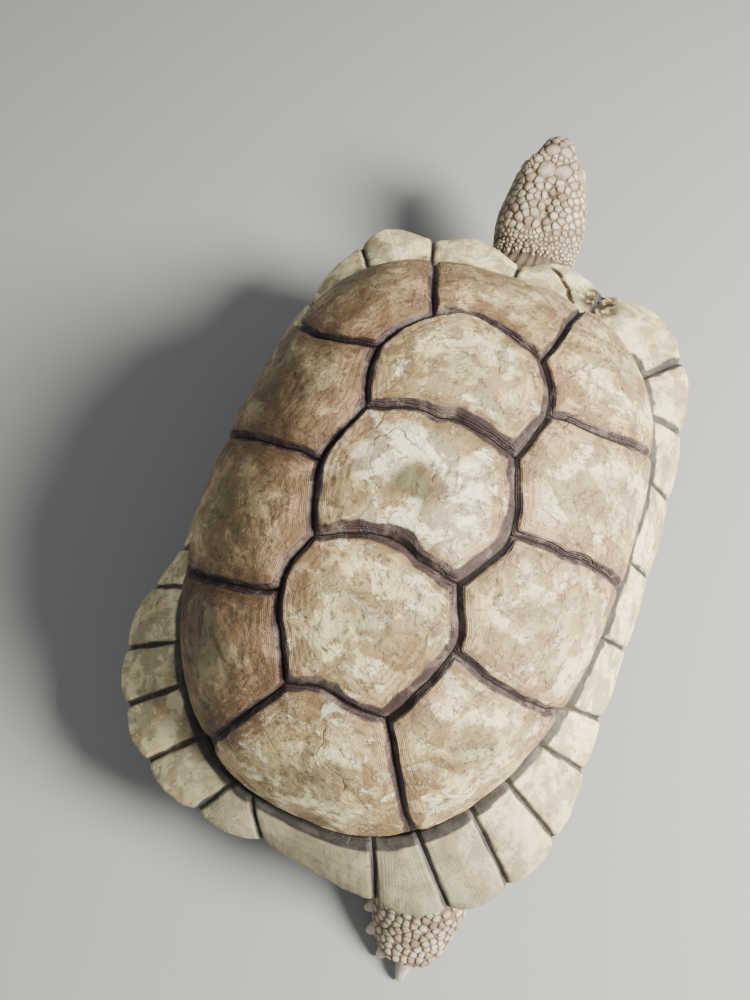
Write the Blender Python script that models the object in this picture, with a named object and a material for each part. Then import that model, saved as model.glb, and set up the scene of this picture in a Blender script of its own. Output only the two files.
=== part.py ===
"""Life-size model of an adult African spurred tortoise, walking low with its head raised.

Head toward -Y, the animal's left toward +X, floor at z = 0, lengths in metres.
The shell is one dome surface mapped on a round disk. Every scute is a plate cut
out of that map along shared seams, so neighbours meet with an even thin gap.
"""
import bpy
import bmesh
import math
import numpy as np
from mathutils import Vector

# ---------------------------------------------------------------- driving sizes
ORIGIN = Vector((0.0022, -0.0451, 0.0))    # middle of the animal's box, moved to x = y = 0

# seam line between the big scutes and the marginals
SEAM_HALF_WIDTH = 0.171
SEAM_REACH = (0.217, 0.288)                # forward, rearward
SEAM_PLAN_POWER = (2.70, 2.45)             # squareness of the plan, forward and rearward
SEAM_HEIGHT = (0.175, 0.162, 0.114)        # front, side, rear

# dome above that seam
CROWN_HEIGHT = 0.287
CROWN_SETBACK = 0.022
DOME_POWER = (2.13, 2.11)                  # across, along
DOME_SWEEP = (math.radians(93.2), math.radians(74.8))

# marginal rim, by heading in degrees: 0 is the nose end, 180 the tail end
RIM_OVERHANG = {
    "left": ((0, 0.040), (14, 0.054), (26, 0.056), (34, 0.071), (42, 0.055), (51, 0.044), (62, 0.038), (75, 0.034),
             (102, 0.032), (113, 0.035), (121, 0.053), (130, 0.062), (138, 0.060), (149, 0.051), (159, 0.038),
             (170, 0.027), (180, 0.025)),
    "right": ((0, 0.040), (12, 0.054), (24, 0.052), (34, 0.068), (44, 0.064), (56, 0.048), (70, 0.041),
              (104, 0.039), (114, 0.042), (123, 0.051), (132, 0.062), (141, 0.062), (150, 0.056), (160, 0.043),
              (170, 0.029), (180, 0.025)),
}
RIM_HEIGHT = ((0, 0.161), (25, 0.157), (42, 0.150), (56, 0.128), (72, 0.106), (90, 0.094),
              (113, 0.094), (137, 0.100), (150, 0.098), (165, 0.092), (180, 0.086))
RIM_SCALLOP = (0.009, 0.002, 0.006)        # bulge of each marginal past its seams: front, side, rear
RIM_THICK = (0.014, 0.009)                 # at the seam line and near the lip
RIM_STATIONS = 4                           # section count along one marginal

# plates
PLATE_DEPTH = 0.0075
GROOVE_DEPTH = 0.003
FLANK_PIECES = 2                           # pieces of a seam between two junctions beside the spine
PLATE_GAP = 0.0004                         # pull-back of each plate from its seam
RING_GAP = 0.0012                          # wider pull-back along the marginal seam line
SCUTE_RISE = 0.0045                        # height of an areola over the dome surface
BED_DEPTH = 0.0140                         # body surface under the plates
GAP_LEAN = 1.3                             # seams are met at a slant on the way to an areola
SHORTEST_RUN = 0.02                        # least distance from seam to areola used for that pull-back
SEAM_TRIM = 0.12                           # pull-back of a marginal from its seams, in degrees

# marginal seams as (heading on the seam line, heading on the lip)
MARGINAL_SEAMS = {
    "left": ((25.0, 24.5), (41.8, 39.0), (58.0, 53.0), (71.0, 69.0), (88.0, 86.0), (102.9, 100.5),
             (114.5, 112.0), (121.3, 119.0), (130.3, 129.0), (137.8, 137.5), (148.4, 146.5), (160.8, 158.0)),
    "right": ((25.0, 23.5), (46.5, 43.0), (55.0, 55.5), (70.5, 68.5), (90.5, 86.0), (104.7, 100.5),
              (116.8, 112.5), (123.7, 120.5), (131.4, 130.5), (139.0, 139.5), (150.5, 148.5), (160.7, 159.7)),
}
# the left side has one narrow extra marginal beside the tail plate
TAIL_PLATE_EDGE = {"left": (165.5, 173.0), "right": (160.7, 159.7)}

# seam junctions on the shell map (left and rear are plus), one pair of values per side
JUNCTIONS = {
    "J1": ((0.157, -0.325), (-0.209, -0.272)),
    "A2": ((0.236, -0.152), (-0.257, -0.130)),
    "J2": ((0.194, 0.000), (-0.218, -0.006)),
    "A3": ((0.247, 0.110), (-0.277, 0.118)),
    "J3": ((0.198, 0.242), (-0.205, 0.233)),
    "A4": ((0.246, 0.360), (-0.265, 0.346)),
    "J4": ((0.156, 0.556), (-0.183, 0.543)),
}
# headings where cross seams reach the marginal seam line, and bends of the first of them
RING_MEETS = {"A1": (24.5, 23.5), "C12": (64.0, 68.6), "C23": (96.8, 97.2), "C34": (116.7, 117.2), "A5": (150.2, 151.5)}
COSTAL_BEND = {"left": (0.520, -0.180), "right": (-0.540, -0.175)}
# bend points inside the seams that run across the back
CROSS_BENDS = {
    "v12": ((0.095, -0.378), (0.010, -0.400), (-0.104, -0.352)),
    "v23": ((0.105, -0.034), (0.000, -0.052), (-0.106, -0.038)),
    "v34": ((0.108, 0.228), (-0.015, 0.226), (-0.125, 0.232)),
    "v45": ((0.055, 0.550), (-0.070, 0.562)),
}
# areola of each scute on the same map
AREOLAE = {
    "vertebral": ((0.000, -0.600), (-0.018, -0.200), (-0.012, 0.105), (-0.004, 0.395), (0.030, 0.760)),
    "left": ((0.430, -0.380), (0.430, -0.010), (0.430, 0.238), (0.440, 0.500)),
    "right": ((-0.440, -0.360), (-0.440, 0.012), (-0.420, 0.238), (-0.400, 0.490)),
}

# underside
PLASTRON_HEIGHT = 0.022
PLASTRON_THICK = 0.009
TRUNK_FLOOR = PLASTRON_HEIGHT + PLASTRON_THICK + 0.0010
# trunk below the plates: height, half width, widening over the bridges, reach forward, reach rearward
TRUNK_LEVELS = ((0.131, 0.147, 0.006, 0.197, 0.258), (0.100, 0.141, 0.010, 0.180, 0.235),
                (0.062, 0.120, 0.024, 0.163, 0.212), (TRUNK_FLOOR, 0.100, 0.016, 0.140, 0.180))
TRUNK_TILT = (0.014, -0.012)               # lift of its upper edge at the front and at the rear
PLASTRON_EDGE = ((0, 0.243), (9, 0.262), (18, 0.243), (33, 0.205), (50, 0.168), (64, 0.140), (90, 0.127),
                 (113, 0.136), (130, 0.154), (150, 0.190), (168, 0.230), (180, 0.212))
BRIDGE_RANGE = (54.0, 68.0, 110.0, 124.0)  # headings where the bridge starts, is full, is full, ends
BRIDGE_MEET = 0.40                         # share of the overhang where the bridge meets the marginals
BODY_TURNS = 36                            # vertices round the trunk and plastron

# soft body
JOINT_GAP = 0.0004
LIMB_TURNS = 13
HEAD_TURNS = 22
HEEL = (-0.110, 0.276, 0.056)              # ankle of the trailing right hind leg
HEEL_DIRECTION = Vector((-0.08, 0.90, -0.43)).normalized()
EYE_RADIUS = 0.0095
EYE_GAP = 0.0003

COLOURS = {
    "scute": (0.52, 0.40, 0.27, 1.0),
    "marginal": (0.60, 0.54, 0.44, 1.0),
    "bed": (0.30, 0.25, 0.21, 1.0),
    "skin": (0.46, 0.41, 0.35, 1.0),
    "horn": (0.62, 0.57, 0.47, 1.0),
    "eye": (0.03, 0.02, 0.015, 1.0),
}


# ---------------------------------------------------------------- making objects
def clear_scene():
    for old in list(bpy.data.objects):
        bpy.data.objects.remove(old, do_unlink=True)
    for old in list(bpy.data.meshes):
        bpy.data.meshes.remove(old)


def colour_material(name, colour, roughness):
    material = bpy.data.materials.new(name)
    material.use_nodes = True
    shader = material.node_tree.nodes["Principled BSDF"]
    shader.inputs["Base Color"].default_value = colour
    shader.inputs["Roughness"].default_value = roughness
    return material


def solid(name, points, faces, colour="skin", roughness=0.7, cutter=False):
    """A closed solid from points and faces, with all faces turned out."""
    mesh = bpy.data.meshes.new(name)
    mesh.from_pydata([tuple(p) for p in points], [], faces)
    work = bmesh.new()
    work.from_mesh(mesh)
    bmesh.ops.recalc_face_normals(work, faces=work.faces)
    if work.calc_volume(signed=True) < 0:
        bmesh.ops.reverse_faces(work, faces=work.faces)
    work.to_mesh(mesh)
    work.free()
    thing = bpy.data.objects.new(name, mesh)
    bpy.context.scene.collection.objects.link(thing)
    if cutter:
        thing.hide_render = True
        thing.display_type = "WIRE"
    else:
        mesh.materials.append(colour_material(name + "_finish", COLOURS[colour], roughness))
    return thing


def combine(target, tool, operation):
    """Apply one exact Boolean and drop the tool."""
    change = target.modifiers.new(operation.lower(), "BOOLEAN")
    change.operation = operation
    change.solver = "EXACT"
    change.object = tool
    shaped = target.evaluated_get(bpy.context.evaluated_depsgraph_get())
    mesh = bpy.data.meshes.new_from_object(shaped)
    target.modifiers.remove(change)
    old = target.data
    target.data = mesh
    bpy.data.meshes.remove(old)
    bpy.data.objects.remove(tool, do_unlink=True)
    bpy.context.view_layer.update()


def ring_faces(first, second, turns):
    """Triangles between two rings of vertices that start at the given numbers."""
    faces = []
    for i in range(turns):
        following = (i + 1) % turns
        faces.append((first + i, first + following, second + following))
        faces.append((first + i, second + following, second + i))
    return faces


def loft(name, rings, ends, **look):
    """A closed solid through rings of equal size, each end closed by a fan to a point."""
    turns = len(rings[0])
    points = [p for ring in rings for p in ring]
    faces = []
    for k in range(len(rings) - 1):
        faces += ring_faces(k * turns, (k + 1) * turns, turns)
    for start, tip in ((0, ends[0]), ((len(rings) - 1) * turns, ends[1])):
        points.append(tip)
        faces += [(start + i, start + (i + 1) % turns, len(points) - 1) for i in range(turns)]
    return solid(name, points, faces, **look)


# ---------------------------------------------------------------- shell surface
def smooth_through(stations, at):
    """Smooth curve through (place, value) stations, level at both ends."""
    places = [s[0] for s in stations]
    values = [s[1] for s in stations]
    last = len(stations) - 1
    slopes = [0.0] * (last + 1)
    for k in range(1, last):
        slopes[k] = (values[k + 1] - values[k - 1]) / (places[k + 1] - places[k - 1])
    at = min(max(at, places[0]), places[last])
    k = max(i for i in range(last) if places[i] <= at)
    span = places[k + 1] - places[k]
    u = (at - places[k]) / span
    return ((2 * u ** 3 - 3 * u ** 2 + 1) * values[k] + (u ** 3 - 2 * u ** 2 + u) * span * slopes[k]
            + (3 * u ** 2 - 2 * u ** 3) * values[k + 1] + (u ** 3 - u ** 2) * span * slopes[k + 1])


def superellipse(angle, power):
    s, c = abs(math.sin(angle)), abs(math.cos(angle))
    k = (s ** power + c ** power) ** (-1.0 / power)
    return math.sin(angle) * k, math.cos(angle) * k


def signed_degrees(heading):
    """Heading in degrees from -180 to 180, plus toward the left."""
    return math.degrees(math.atan2(math.sin(heading), math.cos(heading)))


def by_end(heading, front, side, rear):
    """Blend of a front, a side and a rear value round the shell."""
    c = math.cos(heading)
    return side + (front - side) * max(c, 0.0) ** 2 + (rear - side) * max(-c, 0.0) ** 2


def seam_point(heading):
    """Point of the marginal seam line; heading in radians, plus toward the left."""
    forward = math.cos(heading) > 0
    across, along = superellipse(heading, SEAM_PLAN_POWER[0 if forward else 1])
    reach = SEAM_REACH[0 if forward else 1]
    return Vector((across * SEAM_HALF_WIDTH, -along * reach, by_end(heading, *SEAM_HEIGHT)))


def seam_outward(heading):
    """Level direction square to the seam line, pointing out."""
    step = 1e-4
    along = seam_point(heading + step) - seam_point(heading - step)
    out = Vector((-along.y, along.x, 0.0)).normalized()
    return out if out.dot(seam_point(heading)) > 0 else -out


def dome_point(x, y):
    """Point of the dome for a place on the round shell map."""
    share, heading = math.hypot(x, y), math.atan2(x, -y)
    edge = seam_point(heading)
    end = math.cos(heading) ** 2
    power = DOME_POWER[0] + (DOME_POWER[1] - DOME_POWER[0]) * end
    sweep = DOME_SWEEP[0] + (DOME_SWEEP[1] - DOME_SWEEP[0]) * end
    out, up = superellipse(share * sweep, power)
    out_edge, up_edge = superellipse(sweep, power)
    spread = out / out_edge
    lift = (up - up_edge) / (1.0 - up_edge)
    return Vector((edge.x * spread, CROWN_SETBACK + (edge.y - CROWN_SETBACK) * spread,
                   edge.z + (CROWN_HEIGHT - edge.z) * lift))


def dome_normal(x, y):
    step = 1e-3
    across = dome_point(x + step, y) - dome_point(x - step, y)
    along = dome_point(x, y + step) - dome_point(x, y - step)
    normal = across.cross(along).normalized()
    return normal if normal.z * 1.2 + normal.dot(dome_point(x, y)) > 0 else -normal


def raised(x, y, height):
    return dome_point(x, y) + dome_normal(x, y) * height


def ring_place(heading_degrees):
    a = math.radians(heading_degrees)
    return (math.sin(a), -math.cos(a))


# ---------------------------------------------------------------- seams and plates
def curve_through(knots, pieces):
    """Smooth open curve through map points, cut into a number of pieces per span."""
    padded = [knots[0]] + list(knots) + [knots[-1]]
    out = []
    for k in range(1, len(padded) - 2):
        before, a, b, after = padded[k - 1:k + 3]
        for step in range(pieces):
            u = step / pieces
            out.append(tuple(
                0.5 * (2 * a[i] + (b[i] - before[i]) * u + (2 * before[i] - 5 * a[i] + 4 * b[i] - after[i]) * u * u
                       + (3 * a[i] - before[i] - 3 * b[i] + after[i]) * u ** 3) for i in (0, 1)))
    out.append(tuple(knots[-1]))
    return out


def ring_run(start, stop, pieces):
    """Points along the marginal seam line between two headings in degrees."""
    return [ring_place(start + (stop - start) * k / pieces) for k in range(pieces + 1)]


def chain(*runs):
    """Closed loop out of runs that follow on from each other."""
    loop = []
    for run in runs:
        loop += run[:-1]
    return loop


def shell_loops():
    """Outline loop of every dorsal scute, on the shell map."""
    place = {}
    for name, (left, right) in JUNCTIONS.items():
        place[name, "left"], place[name, "right"] = left, right
    for name, (left, right) in RING_MEETS.items():
        place[name, "left"], place[name, "right"] = ring_place(left), ring_place(-right)

    def link(a, b, side, pieces=3):
        return curve_through((place[a, side], place[b, side]), pieces)

    cross = {}
    for key, junction in (("v12", "J1"), ("v23", "J2"), ("v34", "J3"), ("v45", "J4")):
        cross[key] = curve_through((place[junction, "left"],) + CROSS_BENDS[key] + (place[junction, "right"],), 2)
    back = {key: run[::-1] for key, run in cross.items()}
    (a1_left, a1_right), (a5_left, a5_right) = RING_MEETS["A1"], RING_MEETS["A5"]
    loops = {
        "vertebral_1": chain(link("J1", "A1", "left"), ring_run(a1_left, -a1_right, 8),
                             link("A1", "J1", "right"), back["v12"]),
        "vertebral_5": chain(link("J4", "A5", "left"), ring_run(a5_left, 360 - a5_right, 8),
                             link("A5", "J4", "right"), back["v45"]),
    }
    flank = {}
    for number, (top, apex, low) in enumerate((("J1", "A2", "J2"), ("J2", "A3", "J3"), ("J3", "A4", "J4")), 2):
        for side in ("left", "right"):
            flank[number, side] = curve_through((place[top, side], place[apex, side], place[low, side]), FLANK_PIECES)
        loops["vertebral_%d" % number] = chain(flank[number, "left"], cross["v%d%d" % (number, number + 1)],
                                               flank[number, "right"][::-1], back["v%d%d" % (number - 1, number)])
    for side, sign, pick in (("left", 1, 0), ("right", -1, 1)):
        first, c12, c23, c34, last = [RING_MEETS[key][pick] * sign for key in ("A1", "C12", "C23", "C34", "A5")]
        half = FLANK_PIECES + 1
        outward = curve_through((place["A2", side], COSTAL_BEND[side], place["C12", side]), 2)
        beside_2, beside_3, beside_4 = [flank[number, side] for number in (2, 3, 4)]
        loops["costal_%s_1" % side] = chain(link("A1", "J1", side), beside_2[:half],
                                            outward, ring_run(c12, first, 7))
        loops["costal_%s_2" % side] = chain(beside_2[FLANK_PIECES:], beside_3[:half], link("A3", "C23", side, 4),
                                            ring_run(c23, c12, 6), outward[::-1])
        loops["costal_%s_3" % side] = chain(beside_3[FLANK_PIECES:], beside_4[:half], link("A4", "C34", side, 4),
                                            ring_run(c34, c23, 5), link("C23", "A3", side, 4))
        loops["costal_%s_4" % side] = chain(beside_4[FLANK_PIECES:], link("J4", "A5", side),
                                            ring_run(last, c34, 6), link("C34", "A4", side, 4))
    return loops


def toward(place, centre, share):
    return (place[0] + (centre[0] - place[0]) * share, place[1] + (centre[1] - place[1]) * share)


def inset_share(place, centre):
    """Share of the way to the areola that pulls a plate edge back by the seam gap."""
    on_ring = math.hypot(*place) > 0.999
    gap = RING_GAP if on_ring else PLATE_GAP
    run = (dome_point(*centre) - dome_point(*place)).length
    return gap * GAP_LEAN / max(run, SHORTEST_RUN)


def scute(name, loop, areola):
    """One plate: grooved edge, gentle rise to the areola, level underside."""
    turns = len(loop)
    edge = [toward(p, areola, inset_share(p, areola)) for p in loop]
    levels = ((0.00, -GROOVE_DEPTH), (0.075, 0.0006), (0.33, 0.55 * SCUTE_RISE), (0.66, 0.90 * SCUTE_RISE))
    rings = [[raised(*toward(p, areola, share), height) for p in edge] for share, height in levels]
    under = [[raised(*toward(p, areola, share), -PLATE_DEPTH) for p in edge] for share in (0.0, 0.45)]
    rings = under[::-1] + rings
    ends = (raised(*areola, -PLATE_DEPTH), raised(*areola, SCUTE_RISE))
    return loft(name, rings, ends, colour="scute", roughness=0.6)


# ---------------------------------------------------------------- marginal rim
def rim_place(heading, lip_heading, bulge, share, height):
    """Point in the rim's section: share 0 at the seam line and 1 at the lip, height along its upper normal."""
    seam = seam_point(heading)
    turned = signed_degrees(lip_heading)
    degrees = abs(turned)
    overhang = smooth_through(RIM_OVERHANG["left" if turned >= 0 else "right"], degrees)
    out = seam_outward(lip_heading)
    lip = seam_point(lip_heading) + out * (overhang + bulge * by_end(lip_heading, *RIM_SCALLOP))
    lip.z = smooth_through(RIM_HEIGHT, degrees)
    slope = lip - seam
    drop = slope.z / max(slope.length, 1e-6)
    normal = Vector((-out.x * drop, -out.y * drop, math.sqrt(1.0 - drop * drop)))
    return seam + slope * share + normal * height


def rim_section(heading, lip_heading, bulge):
    """Ring of points round one section of the marginal rim."""
    thick, thin = RIM_THICK
    profile = ((0.025, -GROOVE_DEPTH), (0.12, 0.0010), (0.55, 0.0022), (0.93, 0.0002), (1.00, -0.0040),
               (0.95, -thin), (0.50, -0.5 * (thick + thin)), (0.03, -thick))
    return [rim_place(heading, lip_heading, bulge, share, height) for share, height in profile]


def marginal(name, start, stop):
    """One rim plate between two seams, each given as (seam-line heading, lip heading) in degrees."""
    turn = 1 if stop[0] > start[0] else -1
    rings = []
    for k in range(RIM_STATIONS):
        u = k / (RIM_STATIONS - 1)
        a, b = [start[i] + (stop[i] - start[i]) * u for i in (0, 1)]
        pull = turn * SEAM_TRIM * (1 - 2 * u)
        rings.append(rim_section(math.radians(a + pull), math.radians(b + pull), math.sin(math.pi * u) ** 0.7))
    middle = [sum((p for p in ring), Vector()) / len(ring) for ring in (rings[0], rings[-1])]
    return loft(name, rings, middle, colour="marginal", roughness=0.55)


def build_shell():
    loops = shell_loops()
    for number, areola in enumerate(AREOLAE["vertebral"], 1):
        name = "vertebral_%d" % number
        scute(name, loops[name], areola)
    for side in ("left", "right"):
        for number, areola in enumerate(AREOLAE[side], 1):
            name = "costal_%s_%d" % (side, number)
            scute(name, loops[name], areola)
    for side, sign in (("left", 1), ("right", -1)):
        seams = ((0.0, 0.0),) + MARGINAL_SEAMS[side]
        if TAIL_PLATE_EDGE[side] != MARGINAL_SEAMS[side][-1]:
            seams += (TAIL_PLATE_EDGE[side],)
        for number in range(1, len(seams)):
            start, stop = [(a * sign, b * sign) for a, b in seams[number - 1:number + 1]]
            marginal("marginal_%s_%d" % (side, number), start, stop)
    left, right = TAIL_PLATE_EDGE["left"], TAIL_PLATE_EDGE["right"]
    marginal("supracaudal", left, (360 - right[0], 360 - right[1]))


# ---------------------------------------------------------------- trunk and plastron
def trunk_rings(swell):
    """Rings of the trunk from under the crown down to the plastron; swell grows it for use as a cutter."""
    rings = []
    headings = [2 * math.pi * k / BODY_TURNS for k in range(BODY_TURNS)]
    for share in (0.22, 0.45, 0.66, 0.84, 0.985):
        rings.append([raised(math.sin(a) * share, -math.cos(a) * share, swell - BED_DEPTH) for a in headings])
    for level, (height, half_width, widening, front, rear) in enumerate(TRUNK_LEVELS):
        ring = []
        for a in headings:
            across, along = superellipse(a, 2.7)
            reach = front if math.cos(a) > 0 else rear
            wide = half_width + widening * bridge_share(abs(signed_degrees(a))) + swell
            tilt = by_end(a, TRUNK_TILT[0], 0.0, TRUNK_TILT[1]) if level == 0 else 0.0
            ring.append(Vector((across * wide, -along * (reach + swell), height + tilt)))
        rings.append(ring)
    return rings


def build_trunk():
    rings = trunk_rings(0.0)
    floor = Vector((0.0, 0.0, TRUNK_FLOOR))
    return loft("trunk", rings, (raised(0.0, 0.0, -BED_DEPTH), floor), colour="bed")


def trunk_cutter():
    rings = trunk_rings(JOINT_GAP)
    floor = Vector((0.0, 0.0, PLASTRON_HEIGHT + PLASTRON_THICK))
    return loft("trunk_cutter", rings, (raised(0.0, 0.0, JOINT_GAP - BED_DEPTH), floor), cutter=True)


def bridge_share(degrees):
    start, full, fade, end = BRIDGE_RANGE
    if degrees <= start or degrees >= end:
        return 0.0
    if degrees < full:
        u = (degrees - start) / (full - start)
    elif degrees > fade:
        u = (end - degrees) / (end - fade)
    else:
        u = 1.0
    return u * u * (3 - 2 * u)


def build_plastron():
    """Flat belly plate with a forked front, a notched rear and bridges up to the marginals."""
    outer = [[], [], [], []]
    for k in range(BODY_TURNS):
        heading = 2 * math.pi * k / BODY_TURNS
        degrees = abs(signed_degrees(heading))
        reach = smooth_through(PLASTRON_EDGE, degrees)
        flat = Vector((math.sin(heading) * reach, -math.cos(heading) * reach, PLASTRON_HEIGHT))
        under = -0.5 * (RIM_THICK[0] + RIM_THICK[1]) - 0.0055
        top = rim_place(heading, heading, 0.0, BRIDGE_MEET, under)
        lobe = flat * 1.03
        lobe.z = PLASTRON_HEIGHT + 0.004
        share = bridge_share(degrees)
        rim = lobe.lerp(top, share)
        bend = flat.lerp(rim, 0.5)
        bend += Vector((math.sin(heading), -math.cos(heading), -0.8)) * 0.010 * share
        outer[0].append(Vector((flat.x * 0.5, flat.y * 0.5, PLASTRON_HEIGHT)))
        outer[1].append(flat)
        outer[2].append(bend)
        outer[3].append(rim)
    inner = []
    for ring, tilt in zip(outer, (0.0, 0.25, 0.75, 1.0)):
        lifted = []
        for p in ring:
            degrees = abs(math.degrees(math.atan2(p.x, -p.y)))
            lean = tilt * bridge_share(degrees)
            inward = Vector((-p.x, -p.y, 0.0)).normalized() * lean
            step = (inward + Vector((0.0, 0.0, 1.0 - 0.9 * lean))).normalized()
            lifted.append(p + step * PLASTRON_THICK * (1.0 if tilt < 1.0 else 0.8))
        inner.append(lifted)
    rings = outer + inner[::-1]
    ends = (Vector((0, 0, PLASTRON_HEIGHT)), Vector((0, 0, PLASTRON_HEIGHT + PLASTRON_THICK)))
    return loft("plastron", rings, ends, colour="marginal", roughness=0.6)


# ---------------------------------------------------------------- limbs, neck and tail
def oval(centre, forward, side, half_width, half_depth, turns, power=2.2):
    """Closed oval section square to a direction."""
    forward = Vector(forward).normalized()
    side = (Vector(side) - forward * forward.dot(Vector(side))).normalized()
    rise = forward.cross(side)
    ring = []
    for k in range(turns):
        s, c = superellipse(2 * math.pi * k / turns, power)
        ring.append(Vector(centre) + side * (s * half_width) + rise * (c * half_depth))
    return ring


def limb(name, stations, side, turns=LIMB_TURNS, first_direction=None, last_direction=None, colour="skin"):
    """Loft along a path of (centre, half width, half depth) stations."""
    centres = [Vector(s[0]) for s in stations]
    rings = []
    for k, (_, half_width, half_depth) in enumerate(stations):
        before, after = centres[max(k - 1, 0)], centres[min(k + 1, len(centres) - 1)]
        forward = (after - before).normalized()
        if first_direction is not None and k == 0:
            forward = Vector(first_direction)
        if last_direction is not None and k == len(stations) - 1:
            forward = Vector(last_direction)
        rings.append(oval(centres[k], forward, side, half_width, half_depth, turns))
    return loft(name, rings, (centres[0], centres[-1]), colour=colour)


def claw(base, tip, half_width, half_depth, side):
    """Blunt nail that tapers and bends slightly from base to tip."""
    base, tip = Vector(base), Vector(tip)
    forward = (tip - base).normalized()
    stations = ((0.0, 1.0), (0.55, 0.86), (0.90, 0.50))
    lift = Vector((0.0, 0.0, 0.10 * (tip - base).length))
    rings = []
    for share, size in stations:
        centre = base.lerp(tip, share) + lift * math.sin(math.pi * share)
        rings.append(oval(centre, forward, side, half_width * size, half_depth * size, 6))
    return loft("claw", rings, (base, tip), cutter=True)


def floor_block():
    half, depth = 0.5, 0.05
    corners = [(x, y, z) for z in (-depth, 0.0) for x, y in ((-half, -half), (half, -half), (half, half), (-half, half))]
    faces = [(0, 3, 2, 1), (4, 5, 6, 7), (0, 1, 5, 4), (1, 2, 6, 5), (2, 3, 7, 6), (3, 0, 4, 7)]
    return solid("floor_block", corners, faces, cutter=True)


def column_foot(name, wrist, sole, heading_degrees, widths, depths, claws, claw_length):
    """Standing foot: column from the wrist to a flat sole with nails along its front edge."""
    a = math.radians(heading_degrees)
    ahead, across = Vector((math.sin(a), -math.cos(a), 0.0)), Vector((math.cos(a), math.sin(a), 0.0))
    wrist, sole = Vector(wrist), Vector(sole)
    levels = (0.0, 0.35, 0.70, 1.0)
    rings = []
    for level, half_width, half_depth in zip(levels, widths, depths):
        centre = wrist.lerp(sole, level)
        centre.z = wrist.z * (1 - level)
        rings.append(oval(centre, (0, 0, -1), across, half_width, half_depth, LIMB_TURNS))
    foot = loft(name, rings, (wrist, Vector((sole.x, sole.y, 0.0))), colour="skin")
    for k in range(claws):
        spread = (k - (claws - 1) / 2) / ((claws - 1) / 2)
        fan = ahead * math.cos(spread * 0.55) + across * math.sin(spread * 0.55)
        start = sole + ahead * depths[2] * (0.62 - 0.22 * spread ** 2) + across * widths[2] * 0.74 * spread
        base = Vector((start.x, start.y, 0.0115))
        tip = base + fan * claw_length
        tip.z = 0.0035
        combine(foot, claw(base, tip, 0.0072, 0.0085, across), "UNION")
    combine(foot, floor_block(), "DIFFERENCE")
    return foot


def trailing_foot(name, stations, side, claws):
    """Hind foot at push-off: heel up, toes and nails last on the floor."""
    foot = limb(name, stations, side, first_direction=HEEL_DIRECTION)
    for base, tip, half_width, half_depth in claws:
        combine(foot, claw(base, tip, half_width, half_depth, side), "UNION")
    combine(foot, floor_block(), "DIFFERENCE")
    return foot


def build_neck_and_tail(neck_end, head_forward):
    stations = (((0.000, -0.170, 0.104), 0.044, 0.040), ((0.000, -0.215, 0.100), 0.047, 0.038),
                ((0.000, -0.255, 0.096), 0.048, 0.036), ((-0.001, -0.288, 0.095), 0.047, 0.034),
                ((-0.002, -0.310, 0.097), 0.046, 0.032), (neck_end, 0.0445, 0.0310))
    neck = limb("neck", stations, (1, 0, 0), turns=20, last_direction=head_forward)
    combine(neck, trunk_cutter(), "DIFFERENCE")
    stations = (((0.000, 0.215, 0.082), 0.024, 0.022), ((0.006, 0.245, 0.080), 0.022, 0.020),
                ((0.020, 0.270, 0.070), 0.016, 0.015), ((0.036, 0.287, 0.058), 0.010, 0.010),
                ((0.048, 0.296, 0.049), 0.004, 0.004))
    tail = limb("tail", stations, (1, 0, 0), turns=12)
    combine(tail, trunk_cutter(), "DIFFERENCE")


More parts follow.
